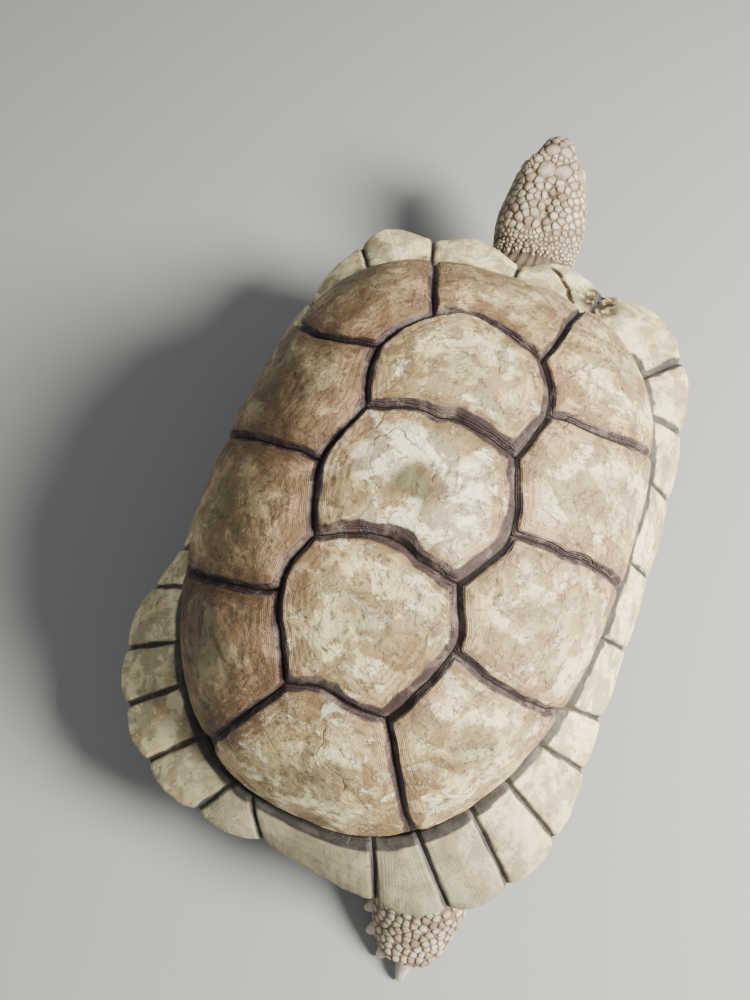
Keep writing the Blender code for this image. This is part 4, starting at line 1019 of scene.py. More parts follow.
def scale_size(points, region, travel):
    """Spacing of the scales in metres at each point; 0 where the skin stays bare."""
    back, out, up = in_head(points).T
    size = np.zeros(len(points))
    crown = ease(-0.2, 0.5, up / 0.030)
    on_head = 0.0052 + 0.0028 * crown * ease(0.030, 0.075, back)
    on_head += 0.0034 * crown * ease(0.036, 0.020, back)
    on_head *= 1 - 0.26 * ease(0.108, 0.130, back)
    size = np.where(region == 1, on_head, size)
    size = np.where(region == 2, NECK_SPACING, size)
    size = np.where((region == 2) & (back > NECK_BARE_FROM), 0.0, size)
    size = np.where(region == 3, TAIL_SPACING, size)
    fore = (region == 4) | (region == 5)
    size = np.where(fore, 0.0056 + 0.0030 * ease(0.40, 0.70, travel), size)
    size = np.where(region >= 6, 0.0052 + 0.0012 * ease(0.45, 0.80, travel), size)
    for side, sign in SIDES:
        reach = np.linalg.norm(points - EYE_CENTRES[side], axis=1)
        size = np.where(reach < BARE_EYE, 0.0, size)
        size = np.where((reach >= BARE_EYE) & (reach < LID_RIM), LID_SPACING, size)
        size = np.where((from_drum(back, out, up, sign) < EAR[2]) & (region == 1), 0.0, size)
    beak = (region == 1) & (up < MOUTH_DROP + 0.0062) & (up > MOUTH_DROP - 0.0058) & (back < 0.052)
    size = np.where(beak | ((region == 1) & (back < 0.0065)), 0.0, size)
    size = np.where((region == 1) & (up < -0.018), THROAT_SPACING, size)
    size = np.where(points[:, 2] < 0.0035, 0.0, size)
    return size


def big_roots():
    """Roots of the large scales: plates of the snout and brow, and the spurs of the forearms."""
    roots = []
    for back, out, size in [(back, out * sign, size) for back, out, size in HEAD_PLATES for sign in (1, -1)]:
        hit = tree.ray_cast(Vector(head_place(back, out, 0.06)), Vector(-head_up))
        roots.append((np.array(hit[0]), size, 0.0))
    for name in ("foreleg_right", "foreleg_left"):
        stations, side = TUBES[name]
        centres = np.array([s[0] for s in stations])
        for row, place in enumerate(np.linspace(2.5, 6.1, 7)):
            k = int(place)
            onward = centres[k + 1] - centres[k]
            centre, step = centres[k] + onward * (place - k), unit(onward)
            across = unit(np.array(side, float) - step * np.dot(step, side))
            rise = np.cross(step, across)
            ahead = rise if rise[1] < 0 else -rise
            for column in np.linspace(-1.15, 1.15, 5) + (0.25 if row % 2 else 0.0):
                direction = ahead * math.cos(column) + across * math.sin(column)
                hit = tree.ray_cast(Vector(centre), Vector(direction))
                if hit[0] is not None:
                    roots.append((np.array(hit[0]), 0.0135 - 0.0008 * abs(row - 3), 1.0))
    return roots


def scatter_roots():
    """Roots that keep their distance: the large ones first, then random spots where there is room."""
    corners = places[triangles]
    first, second, third = corners[:, 0], corners[:, 1], corners[:, 2]
    area = np.linalg.norm(np.cross(second - first, third - first), axis=1)
    mid = corners.mean(axis=1)
    mid_region, mid_travel, _, _ = body_map(mid)
    spacing = scale_size(mid, mid_region, mid_travel)
    weight = np.where(spacing > 0, area / np.maximum(spacing, 1e-4) ** 2, 0.0)
    chosen = rng.choice(len(mid), CANDIDATES, p=weight / weight.sum())
    mix = rng.dirichlet((1, 1, 1), CANDIDATES)
    spots = np.einsum("nk,nkc->nc", mix, corners[chosen])
    kept, sizes, spur, cells = [], [], [], {}
    cell = 0.006
    around = list(product((-2, -1, 0, 1, 2), repeat=3))

    def add(place, size, pointed):
        cells.setdefault(tuple((place // cell).astype(int)), []).append(len(kept))
        kept.append(place)
        sizes.append(size)
        spur.append(pointed)

    for place, size, pointed in big_roots():
        add(place, size, pointed)
    for place, size in zip(spots, spacing[chosen]):
        x, y, z = (place // cell).astype(int)
        near = [n for i, j, k in around for n in cells.get((x + i, y + j, z + k), ())]
        if near:
            other = np.array([kept[n] for n in near])
            room = 0.435 * (size + np.array([sizes[n] for n in near]))
            if np.any(np.sum((other - place) ** 2, axis=1) < room * room):
                continue
        add(place, size, 0.0)
    return np.array(kept), np.array(sizes), np.array(spur)


roots, root_sizes, root_spur = scatter_roots()
print("scales", len(roots))

# %% Grow the scales
SCALE_RINGS = ((1.00, -0.0006, 0.0), (0.93, 0.55, 1.0), (0.62, 0.95, 1.0), (0.0, 1.0, 1.0))
NEIGHBOURS = 12
JOINT_WIDTH = 0.00022
SPUR_RISE = 0.0012
PATCH_RADIUS = 0.0015                      # half the size of a scale's patch in the map OFBake
REGION_NAMES = ("pocket", "head") + TUBE_NAMES


def settled(points, heights):
    """Points set down on the skin and raised by the heights along its normal."""
    out = np.empty_like(points)
    for k, (p, h) in enumerate(zip(points.tolist(), heights.tolist())):
        place, normal, _, _ = tree.find_nearest(p)
        out[k] = (place.x + normal.x * h, place.y + normal.y * h, place.z + normal.z * h)
    return out


def grow_scales():
    """Points of every scale, cut off where the ground of its neighbours begins."""
    count = len(roots)
    region, travel, turn, flow = body_map(roots)
    normal = np.array([tree.find_nearest(p)[1] for p in roots.tolist()])
    ahead = unit(flow - normal * np.sum(flow * normal, axis=1, keepdims=True))
    across = np.cross(normal, ahead)
    root_tree = KDTree(count)
    for k, p in enumerate(roots.tolist()):
        root_tree.insert(p, k)
    root_tree.balance()
    angle = 2 * math.pi * np.arange(SCALE_TURNS) / SCALE_TURNS
    near = np.array([[hit[1] for hit in root_tree.find_n(p, NEIGHBOURS + 1)][1:] for p in roots.tolist()])
    away = roots[near] - roots[:, None]
    u, v = np.einsum("snk,sk->sn", away, ahead), np.einsum("snk,sk->sn", away, across)
    gap = np.hypot(u, v)
    share = root_sizes[:, None] / (root_sizes[:, None] + root_sizes[near])
    facing = np.cos(angle[None, None] - np.arctan2(v, u)[..., None])
    wall = (gap * share)[..., None] / np.maximum(facing, 0.05)
    limit = (root_sizes * np.where(region == 1, 0.80, 0.72))[:, None]
    radius = (np.sum(wall ** -9.0, axis=1) + limit ** -9.0) ** (-1 / 9.0)
    radius = radius * np.where(region == 1, 1.05, 1.0)[:, None] - JOINT_WIDTH
    radius = np.maximum(radius, root_sizes[:, None] * 0.2)
    point = root_spur[:, None] * np.maximum(np.cos(angle), 0) ** 4
    radius = radius * (1 + 0.40 * point)
    legs = (region >= 3).astype(float)
    lean = (0.30 * legs + 0.35 * root_spur)[:, None] * np.cos(angle)
    tall = np.where(region == 1, np.minimum(0.135, 0.0011 / root_sizes), np.where(region == 2, 0.13, 0.15))
    tall = tall * root_sizes + root_spur * SPUR_RISE
    rows, heights, crest = [], [], []
    for out, lift, shown in SCALE_RINGS[:-1]:
        reach = radius * out
        rows.append(roots[:, None] + (ahead[:, None] * (np.cos(angle) * reach)[..., None]
                                      + across[:, None] * (np.sin(angle) * reach)[..., None]))
        heights.append(np.where(shown > 0, tall[:, None] * (lift + lean * out), lift + 0 * radius))
        crest.append(np.full_like(radius, 1 - out))
    points = np.concatenate(rows + [roots[:, None]], axis=1)
    heights = np.concatenate(heights + [tall[:, None]], axis=1)
    crest = np.concatenate(crest + [np.ones((count, 1))], axis=1)
    settled_points = settled(points.reshape(-1, 3), heights.ravel()).reshape(count, -1, 3)
    return region, travel, turn, settled_points, crest


def scale_faces(rings):
    faces = grid_faces(rings, SCALE_TURNS)
    last = (rings - 1) * SCALE_TURNS
    return faces + end_cap(last, SCALE_TURNS, rings * SCALE_TURNS)


def bake_patches(thing, travel, turn):
    """UV map OFBake: a patch about 0.003 across for each scale, at its root on the unrolled body part."""
    u = (turn / (2 * math.pi) + 0.5) * 0.98 + 0.01
    v = np.clip(travel, 0, 1) * 0.98 + 0.01
    angle = 2 * math.pi * np.arange(SCALE_TURNS) / SCALE_TURNS
    reach = PATCH_RADIUS * np.repeat([row[0] for row in SCALE_RINGS[:-1]], SCALE_TURNS)
    angle = np.tile(angle, len(SCALE_RINGS) - 1)
    du, dv = np.append(reach * np.cos(angle), 0.0), np.append(reach * np.sin(angle), 0.0)
    place = np.stack([(u[:, None] + du).ravel(), (v[:, None] + dv).ravel()], axis=1)
    layer = thing.data.uv_layers.new(name="OFBake")
    corners = np.zeros(len(thing.data.loops), np.int32)
    thing.data.loops.foreach_get("vertex_index", corners)
    layer.uv.foreach_set("vector", place[corners].ravel().astype(np.float32))


scale_region, scale_travel, scale_turn, scale_points, scale_crest = grow_scales()
one_scale = scale_faces(len(SCALE_RINGS) - 1)
per_scale = scale_points.shape[1]
scale_pieces = []
for number, name in enumerate(REGION_NAMES):
    mine = np.flatnonzero(scale_region == number)
    if len(mine) == 0:
        continue
    faces = [tuple(per_scale * k + i for i in face) for k in range(len(mine)) for face in one_scale]
    tint = np.repeat(rng.random(len(mine)), per_scale)
    piece = make_piece("scales_" + name, scale_points[mine].reshape(-1, 3), faces, slot="skin",
                       crest=scale_crest[mine].ravel(), tint=tint)
    bake_patches(piece, scale_travel[mine], scale_turn[mine])
    scale_pieces.append(piece)
print("scale pieces", [(p.name, len(p.data.polygons)) for p in scale_pieces])

# %% [markdown]
# ## Beak, eyes and lids
# The jaws are edged with horn. Each beak is a band laid on the snout: points are found
# by looking out level from inside the head, so the band follows the skin, and it stands
# a little proud of it. The upper one overhangs and is hooked at the tip.

# %% Build the beak
BEAK_SWEEP = math.radians(112)
BEAK_AXIS_BACK = 0.034


def mouth_line(angle):
    """Height of the mouth round the snout: hooked in front, arched beside it, down at the corner."""
    degrees = np.abs(np.degrees(angle))
    return (MOUTH_DROP - 0.0020 * np.exp(-(degrees / 13) ** 2) + 0.0012 * np.exp(-((degrees - 45) / 22) ** 2)
            - 0.0022 * ease(80, 112, degrees))


def beak_band(name, rows):
    """A horn band from (height over the mouth line, stand-off) rows, height shrinking to the corners."""
    turns = 65
    angle = np.linspace(-BEAK_SWEEP, BEAK_SWEEP, turns)
    taper = 1 - 0.55 * ease(0.35, 1.0, np.abs(angle) / BEAK_SWEEP)
    points = []
    for lift, off in rows:
        for a, share in zip(angle, taper):
            height = float(mouth_line(np.array(a))) + lift * share
            start = head_place(BEAK_AXIS_BACK, 0.0, height)
            direction = head_forward * math.cos(a) + head_left * math.sin(a)
            hit = tree.ray_cast(Vector(start), Vector(direction))
            points.append(np.array(hit[0]) + direction * off)
    points = np.array(points)
    faces = grid_faces(len(rows), turns, closed=False)
    level = np.repeat(np.linspace(0, 1, len(rows)), turns)
    return make_piece(name, points, faces, slot="skin", level=level)


upper_beak = beak_band("beak_upper", (
    (0.0006, -0.0030), (-0.0004, -0.0004), (-0.0006, 0.0004), (0.0002, 0.0009),
    (0.0018, 0.0009), (0.0036, 0.0007), (0.0050, 0.0003), (0.0058, -0.0008)))
lower_beak = beak_band("beak_lower", (
    (0.0008, -0.0045), (0.0002, -0.0022), (-0.0004, -0.0010), (-0.0014, -0.0001),
    (-0.0030, 0.0003), (-0.0046, 0.0001), (-0.0056, -0.0008)))
print("beaks", len(upper_beak.data.polygons), len(lower_beak.data.polygons))

# %% [markdown]
# The eye is a ball in its socket, and the lids are a slit shell just outside it. The
# slit is a flat almond, wider than tall, and its rim turns in to touch the ball.

# %% Build eyes and lids
LID_OPENING = (0.66, 0.44)                 # half angles of the almond along and across
LID_TURNS = 48
CORNEA_BULGE = 0.0006
EYE_AHEAD, EYE_RISE = 0.28, 0.12           # how far the eyes look ahead and up
# past the slit, and lift over the ball, of each ring of a lid
LID_FOLDS = ((-0.02, -0.0002), (0.0, 0.0006), (0.05, 0.0011), (0.12, 0.0012), (0.20, 0.0008), (0.27, 0.0014),
             (0.37, 0.0013), (0.46, 0.0009), (0.55, 0.0014), (0.68, 0.0011), (0.82, 0.0006), (0.98, -0.0006))


def eye_frame(sign):
    """Directions of one eye: outward, forward along the head, and up."""
    outward = (head_left * sign * math.cos(EYE_AHEAD) + head_forward * math.sin(EYE_AHEAD) * 0.9
               + head_up * EYE_RISE)
    outward = unit(outward)
    along = unit(head_forward - outward * np.dot(head_forward, outward))
    return outward, along, np.cross(outward, along) * sign


def on_ball(centre, frame_axes, polar, around, radius):
    """Points round an eye: polar angle off its axis, angle around it, distance from its centre."""
    outward, along, upward = frame_axes
    polar, around, radius = np.broadcast_arrays(polar, around, radius)
    return (centre + outward * (np.cos(polar) * radius)[..., None]
            + along * (np.sin(polar) * np.cos(around) * radius)[..., None]
            + upward * (np.sin(polar) * np.sin(around) * radius)[..., None])


def build_eye(side, sign):
    centre, axes = EYE_CENTRES[side], eye_frame(sign)
    around = 2 * math.pi * np.arange(LID_TURNS) / LID_TURNS
    polar = np.linspace(0.03, 2.2, 32)
    bulged = EYE_RADIUS + CORNEA_BULGE * np.exp(-(polar[:, None] / 0.5) ** 2)
    ball = on_ball(centre, axes, polar[:, None], around[None], bulged)
    front = on_ball(centre, axes, 0.0, 0.0, EYE_RADIUS + CORNEA_BULGE)
    points = np.vstack([ball.reshape(-1, 3), front[None]])
    faces = grid_faces(len(polar), LID_TURNS)
    faces += [((i + 1) % LID_TURNS, i, len(points) - 1) for i in range(LID_TURNS)]
    eye = make_piece("eyeball_" + side, points, faces, ("eye_" + side,), "eye",
                     polar=np.append(np.repeat(polar, LID_TURNS), 0.0))
    wide, tall = LID_OPENING
    slit = 1 / np.sqrt((np.cos(around) / wide) ** 2 + (np.abs(np.sin(around)) / tall) ** 1.7)
    rows, crest = [], []
    for past, lift in LID_FOLDS:
        rows.append(on_ball(centre, axes, slit + past, around, EYE_RADIUS + lift))
        crest.append(np.full(LID_TURNS, min(1.0, max(lift, 0) / 0.0014)))
    lids = make_piece("lids_" + side, np.vstack(rows), grid_faces(len(rows), LID_TURNS), slot="skin",
                      crest=np.concatenate(crest), tint=np.full(len(rows) * LID_TURNS, 0.4))
    return eye, lids


eyes, lids = zip(*[build_eye(*side) for side in SIDES])
print("eyes", [e.name for e in eyes], "lids", [e.name for e in lids])

# %% [markdown]
# ## Claws
# Five nails on each fore foot and four on each hind foot, in the same places as in the
# solids. A nail is a short blunt horn: oval rings along a bent line, with fine ridges.

# %% Build the claws
CLAW_TURNS = 20
CLAW_SHARES = np.linspace(-0.12, 1.0, 22)  # places of the rings along a nail, from inside the toe
NAIL_HALF_SIZE = (0.0072, 0.0085)
NAIL_ROOT_HEIGHT, NAIL_TIP_HEIGHT = 0.0115, 0.0035
# place of the sole, heading, half width, half depth, count of nails, length of a nail
COLUMN_FEET = {
    "forefoot_right": ((-0.125, -0.295), -8, 0.047, 0.038, 5, 0.027),
    "forefoot_left": ((0.154, -0.230), 22, 0.047, 0.038, 5, 0.027),
    "hindfoot_left": ((0.149, 0.168), 28, 0.044, 0.045, 4, 0.025),
}
TRAILING_CLAWS = (((-0.0900, 0.316, 0.021), (-0.0720, 0.3320, 0.006), 0.0074, 0.0078),
                  ((-0.0965, 0.331, 0.018), (-0.0800, 0.3480, 0.004), 0.0076, 0.0076),
                  ((-0.1060, 0.343, 0.014), (-0.0955, 0.3620, 0.003), 0.0074, 0.0072),
                  ((-0.1180, 0.347, 0.013), (-0.1190, 0.3725, 0.003), 0.0070, 0.0066))


def claw_rings(base, tip, half_width, half_depth, side, seed):
    """Oval rings of one nail, bent a little upward, with fine ridges."""
    base, tip, side = np.array(base), np.array(tip), np.array(side, float)
    forward = unit(tip - base)
    length = np.linalg.norm(tip - base)
    rings = []
    for share in CLAW_SHARES:
        size = 1.02 * np.sqrt(max(1 - max(share, 0) ** 2.6, 0.004)) * (1 - 0.18 * max(share, 0))
        centre = base + forward * (length * share)
        centre[2] += 0.10 * length * math.sin(math.pi * min(max(share, 0), 1))
        ring = oval(centre, forward, side, half_width * size, half_depth * size, CLAW_TURNS)
        ridge = 1 + 0.03 * noise(ring, 0.0016, seed)[:, None]
        ring = centre + (ring - centre) * ridge
        ring[:, 2] = np.maximum(ring[:, 2], 0.0004)
        rings.append(ring)
    return rings


def claw_piece(name, claws):
    points, faces = joined([closed_shape(claw_rings(*claw, 31 + k)) for k, claw in enumerate(claws)])
    level = np.append(np.repeat(CLAW_SHARES, CLAW_TURNS), (0.0, 1.0))
    return make_piece(name, points, faces, slot="skin", level=np.tile(level, len(claws)))


claws = []
for name, (sole, heading, half_width, half_depth, number, length) in COLUMN_FEET.items():
    a = math.radians(heading)
    ahead, across = np.array((math.sin(a), -math.cos(a), 0.0)), np.array((math.cos(a), math.sin(a), 0.0))
    nails = []
    for k in range(number):
        spread = (k - (number - 1) / 2) / ((number - 1) / 2)
        outward = ahead * math.cos(spread * 0.55) + across * math.sin(spread * 0.55)
        start = (np.array((*sole, 0.0)) + ahead * half_depth * (0.62 - 0.22 * spread ** 2)
                 + across * half_width * 0.74 * spread)
        base = np.array((start[0], start[1], NAIL_ROOT_HEIGHT))
        tip = base + outward * length
        tip[2] = NAIL_TIP_HEIGHT
        nails.append((base, tip, *NAIL_HALF_SIZE, across))
    claws.append(claw_piece("claws_" + name, nails))
claws.append(claw_piece("claws_hindfoot_right", [row + ((-1, 0, 0),) for row in TRAILING_CLAWS]))
print("claws", [c.name for c in claws])

# %% [markdown]
# ## Belly plate
# The CAD plastron has a forked front, a notched rear and bridges up to the rim. The
# looks take the same solid with finer faces, rounded edges and the scute seams cut in
# as a low groove that the shader darkens.

# %% Dress the plastron
BELLY_CUTS = 3
BELLY_SEAMS = (-0.150, -0.088, 0.036, 0.128, 0.190)   # where seams cross the belly, along Y
BELLY_WANDER = 0.010


def belly_seam_distance(points):
    """Distance of each point from the nearest seam of the belly plates."""
    across = points[:, 0]
    wander = BELLY_WANDER * noise(np.column_stack([across, across * 0, across * 0]), 0.07, 91)
    distance = np.abs(across - 0.004 * noise(points, 0.05, 92))
    for k, y in enumerate(BELLY_SEAMS):
        curve = y + wander * (1 if k % 2 else -1) + 0.25 * np.abs(across) * (1 if k < 3 else -1)
        distance = np.minimum(distance, np.abs(points[:, 1] - curve))
    return distance


belly_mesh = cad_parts["plastron"].data.copy()
belly_mesh.name = "belly"
belly_mesh.materials.clear()
work = bmesh.new()
work.from_mesh(belly_mesh)
bmesh.ops.remove_doubles(work, verts=work.verts, dist=1e-5)
for _ in range(BELLY_CUTS):
    bmesh.ops.subdivide_edges(work, edges=work.edges, cuts=1, use_grid_fill=True, smooth=0.0)
for _ in range(6):
    bmesh.ops.smooth_vert(work, verts=work.verts, factor=0.4,
                          use_axis_x=True, use_axis_y=True, use_axis_z=True)
work.to_mesh(belly_mesh)
work.free()
belly_points, belly_normals = per_vertex(belly_mesh, "co"), per_vertex(belly_mesh, "normal")
seam = belly_seam_distance(belly_points + ORIGIN)
shift = -0.0012 * ease(0.0022, 0.0, seam) - 0.0004 + 0.0004 * rough(belly_points, 0.03, 93)
belly_mesh.vertices.foreach_set("co", (belly_points + belly_normals * shift[:, None]).ravel())
store_numbers(belly_mesh, {"seam": seam})
belly_mesh.shade_smooth()
belly = added("belly_plate", belly_mesh)
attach(belly, BODY)
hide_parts("plastron")
print("belly faces", len(belly_mesh.polygons))

# %% [markdown]
# ## A bed under the plates
# Where two plates meet, nothing should shine through. A dark sheet lies under the
# whole dome, just deeper than the skirts reach; its near-black is painted shade in the gaps.

# %% Lay the bed
BED_TURNS, BED_LEVELS, BED_DEPTH = 90, 20, 0.0075
share = np.repeat(np.linspace(0.02, 0.985, BED_LEVELS), BED_TURNS)
heading = np.tile(2 * math.pi * np.arange(BED_TURNS) / BED_TURNS, BED_LEVELS)
x, y = np.sin(heading) * share, -np.cos(heading) * share
bed = make_piece("seam_shade_sheet", dome_point(x, y) - dome_normal(x, y) * BED_DEPTH,
                 grid_faces(BED_LEVELS, BED_TURNS), slot="body")
print("bed faces", len(bed.data.polygons))

# %% [markdown]
# ## Shader groups
# Growth lines, dirt, cracks and skin marks appear on many pieces, so each is a node
# group with named inputs. They read object coordinates and the numbers stored on the
# meshes, so nothing slides when the model turns, and no image is used.

# %% Node helpers
def node(tree, kind, inputs=(), **settings):
    """A shader node; inputs may be numbers, colours or sockets to link."""
    made = tree.nodes.new("ShaderNode" + kind)
    for key, value in settings.items():
        setattr(made, key, value)
    for key, value in dict(inputs).items():
        plug(tree, made.inputs[key], value)
    return made


def plug(tree, socket, value):
    if isinstance(value, bpy.types.NodeSocket):
        tree.links.new(value, socket)
    elif isinstance(value, tuple) and len(value) == 3 and socket.type == "RGBA":
        socket.default_value = (*value, 1.0)
    else:
        socket.default_value = value


def calc(tree, operation, *values):
    return node(tree, "Math", dict(enumerate(values)), operation=operation).outputs[0]


def times(tree, first, second):
    return calc(tree, "MULTIPLY", first, second)


def blend(tree, factor, first, second):
    """Mix of two colours."""
    made = node(tree, "Mix", data_type="RGBA", blend_type="MIX", clamp_factor=True)
    for name, value in (("Factor_Float", factor), ("A_Color", first), ("B_Color", second)):
        plug(tree, next(s for s in made.inputs if s.identifier == name), value)
    return next(s for s in made.outputs if s.identifier == "Result_Color")


def remap(tree, value, low, high, to_low=0.0, to_high=1.0):
    """Smooth step of a value from one range to another."""
    made = node(tree, "MapRange", {"Value": value, "From Min": low, "From Max": high,
                                   "To Min": to_low, "To Max": to_high}, interpolation_type="SMOOTHSTEP")
    return made.outputs[0]


def stored(tree, name):
    """A number kept on the mesh."""
    return node(tree, "Attribute", attribute_name=name).outputs["Fac"]


def here(tree):
    """The place on the object, for every texture."""
    return node(tree, "TexCoord").outputs["Object"]


def grain(tree, vector, scale, detail=3.0, roughness=0.55, distortion=0.0):
    made = node(tree, "TexNoise", {"Vector": vector, "Scale": scale, "Detail": detail,
                                   "Roughness": roughness, "Distortion": distortion})
    return made.outputs["Fac"]


def new_group(name, inputs, outputs):
    """An empty group with named sockets; inputs map names to default numbers."""
    tree = bpy.data.node_groups.new(name, "ShaderNodeTree")
    for key, default in inputs.items():
        socket = tree.interface.new_socket(key, in_out="INPUT", socket_type="NodeSocketFloat")
        socket.default_value = default
    for key, kind in outputs.items():
        tree.interface.new_socket(key, in_out="OUTPUT", socket_type="NodeSocket" + kind)
    entry, leave = tree.nodes.new("NodeGroupInput"), tree.nodes.new("NodeGroupOutput")
    return tree, entry.outputs, leave.inputs, here(tree)


def use_group(tree, group, **inputs):
    made = tree.nodes.new("ShaderNodeGroup")
    made.node_tree = group
    for key, value in inputs.items():
        plug(tree, made.inputs[key.replace("_", " ")], value)
    return made.outputs


print("node helpers ready")

# %% Effects shared by several materials
def make_growth_lines():
    """Thin brown lines in the grooves between seasons, broken by wear; finer ones between them."""
    tree, given, out, place = new_group("growth_lines", {"Steps": 0.0, "Seam": 0.0, "Wear": 0.5},
                                        {"Lines": "Float", "Fine": "Float"})
    valley = remap(tree, given["Steps"], 0.62, 0.10)
    broken = remap(tree, grain(tree, place, 26.0, 4.0), 0.40, 0.60)
    shown = remap(tree, calc(tree, "SUBTRACT", broken, given["Wear"]), -0.45, 0.45)
    lines = times(tree, valley, shown)
    warp = times(tree, grain(tree, place, 45.0, 2.0), 9.0)
    wave = calc(tree, "SINE", calc(tree, "ADD", times(tree, given["Seam"], 4800.0), warp))
    plug(tree, out["Lines"], lines)
    plug(tree, out["Fine"], remap(tree, wave, 0.1, 1.0))
    return tree


def make_dirt():
    """Patches with a ragged edge; Sharp runs from a cloud (0) to a crisp flake (1)."""
    tree, given, out, place = new_group("dirt", {"Scale": 12.0, "Amount": 0.5, "Sharp": 0.5},
                                        {"Mask": "Float"})
    cloud = grain(tree, place, given["Scale"], 7.0, 0.66, 0.5)
    top = calc(tree, "SUBTRACT", 0.76, times(tree, given["Amount"], 0.42))
    spread = calc(tree, "SUBTRACT", 0.16, times(tree, given["Sharp"], 0.13))
    low = calc(tree, "SUBTRACT", top, spread)
    plug(tree, out["Mask"], remap(tree, cloud, low, calc(tree, "ADD", top, 0.01)))
    return tree


def make_cracks():
    """A broken net of hairline cracks."""
    tree, given, out, place = new_group("cracks", {"Scale": 30.0, "Width": 0.02, "Amount": 0.4},
                                        {"Mask": "Float"})
    bend = node(tree, "TexNoise", {"Vector": place, "Scale": 60.0, "Detail": 3.0}).outputs["Color"]
    moved = node(tree, "VectorMath", {0: bend, "Scale": 0.010}, operation="SCALE").outputs[0]
    spot = node(tree, "VectorMath", {0: place, 1: moved}, operation="ADD").outputs[0]
    net = node(tree, "TexVoronoi", {"Vector": spot, "Scale": given["Scale"]}, feature="DISTANCE_TO_EDGE")
    line = remap(tree, net.outputs["Distance"], given["Width"], 0.0)
    patches = grain(tree, place, 16.0, 3.0)
    low = calc(tree, "SUBTRACT", 0.72, times(tree, given["Amount"], 0.35))
    shown = remap(tree, patches, low, 0.78)
    plug(tree, out["Mask"], times(tree, line, shown))
    return tree


def make_skin_marks():
    """Colour and relief of bare skin and scales alike, so that the two carry the same marks."""
    tree, given, out, place = new_group("skin_marks", {"Crest": 0.5, "Tint": 0.5},
                                        {"Color": "Color", "Height": "Float"})
    broad = grain(tree, place, 9.0, 3.0)
    middle = grain(tree, place, 70.0, 4.0, 0.6)
    base = blend(tree, remap(tree, broad, 0.40, 0.60), (0.330, 0.245, 0.155), (0.460, 0.370, 0.255))
    base = blend(tree, remap(tree, middle, 0.48, 0.64, 0.0, 0.60), base, (0.150, 0.098, 0.058))
    pale = blend(tree, remap(tree, middle, 0.38, 0.58), (0.820, 0.745, 0.585), (0.585, 0.495, 0.355))
    base = blend(tree, remap(tree, given["Crest"], 0.05, 0.65, 0.0, 0.88), base, pale)
    base = blend(tree, remap(tree, given["Tint"], 0.0, 1.0, 0.0, 0.42), base, (0.270, 0.200, 0.125))
    cells = node(tree, "TexVoronoi", {"Vector": place, "Scale": 420.0}, feature="SMOOTH_F1")
    fine = grain(tree, place, 900.0, 2.0)
    pits = times(tree, cells.outputs["Distance"], -0.55)
    height = calc(tree, "ADD", pits, times(tree, fine, 0.35))
    plug(tree, out["Color"], base)
    plug(tree, out["Height"], height)
    return tree


growth_lines, dirt, cracks, skin_marks = make_growth_lines(), make_dirt(), make_cracks(), make_skin_marks()
print("groups", [g.name for g in bpy.data.node_groups])

# %% [markdown]
# ## Materials
# Horn of the dome, horn of the rim, belly horn, skin, claw horn and the wet eye. Each
# one layers flat colours with masks from the groups, oldest marks first.

# %% Horn of the shell
CRACK_WIDTH = 0.020


def new_material(name, roughness=0.6, specular=0.35):
    material = bpy.data.materials.new(name)
    material.use_nodes = True
    shader = material.node_tree.nodes["Principled BSDF"]
    shader.inputs["Roughness"].default_value = roughness
    shader.inputs["Specular IOR Level"].default_value = specular
    return material, material.node_tree, shader


def add_bump(tree, shader, height, strength, distance):
    made = node(tree, "Bump", {"Height": height, "Strength": strength, "Distance": distance})
    tree.links.new(made.outputs["Normal"], shader.inputs["Normal"])


def paint(tree, colour, mask, amount, over):
    """Lay a flat colour over what is there, where the mask says."""
    return blend(tree, times(tree, mask, amount), colour, over)


def dirt_mask(tree, scale, amount, sharp):
    return use_group(tree, dirt, Scale=scale, Amount=amount, Sharp=sharp)["Mask"]


def crack_mask(tree, scale, amount):
    return use_group(tree, cracks, Scale=scale, Width=CRACK_WIDTH, Amount=amount)["Mask"]


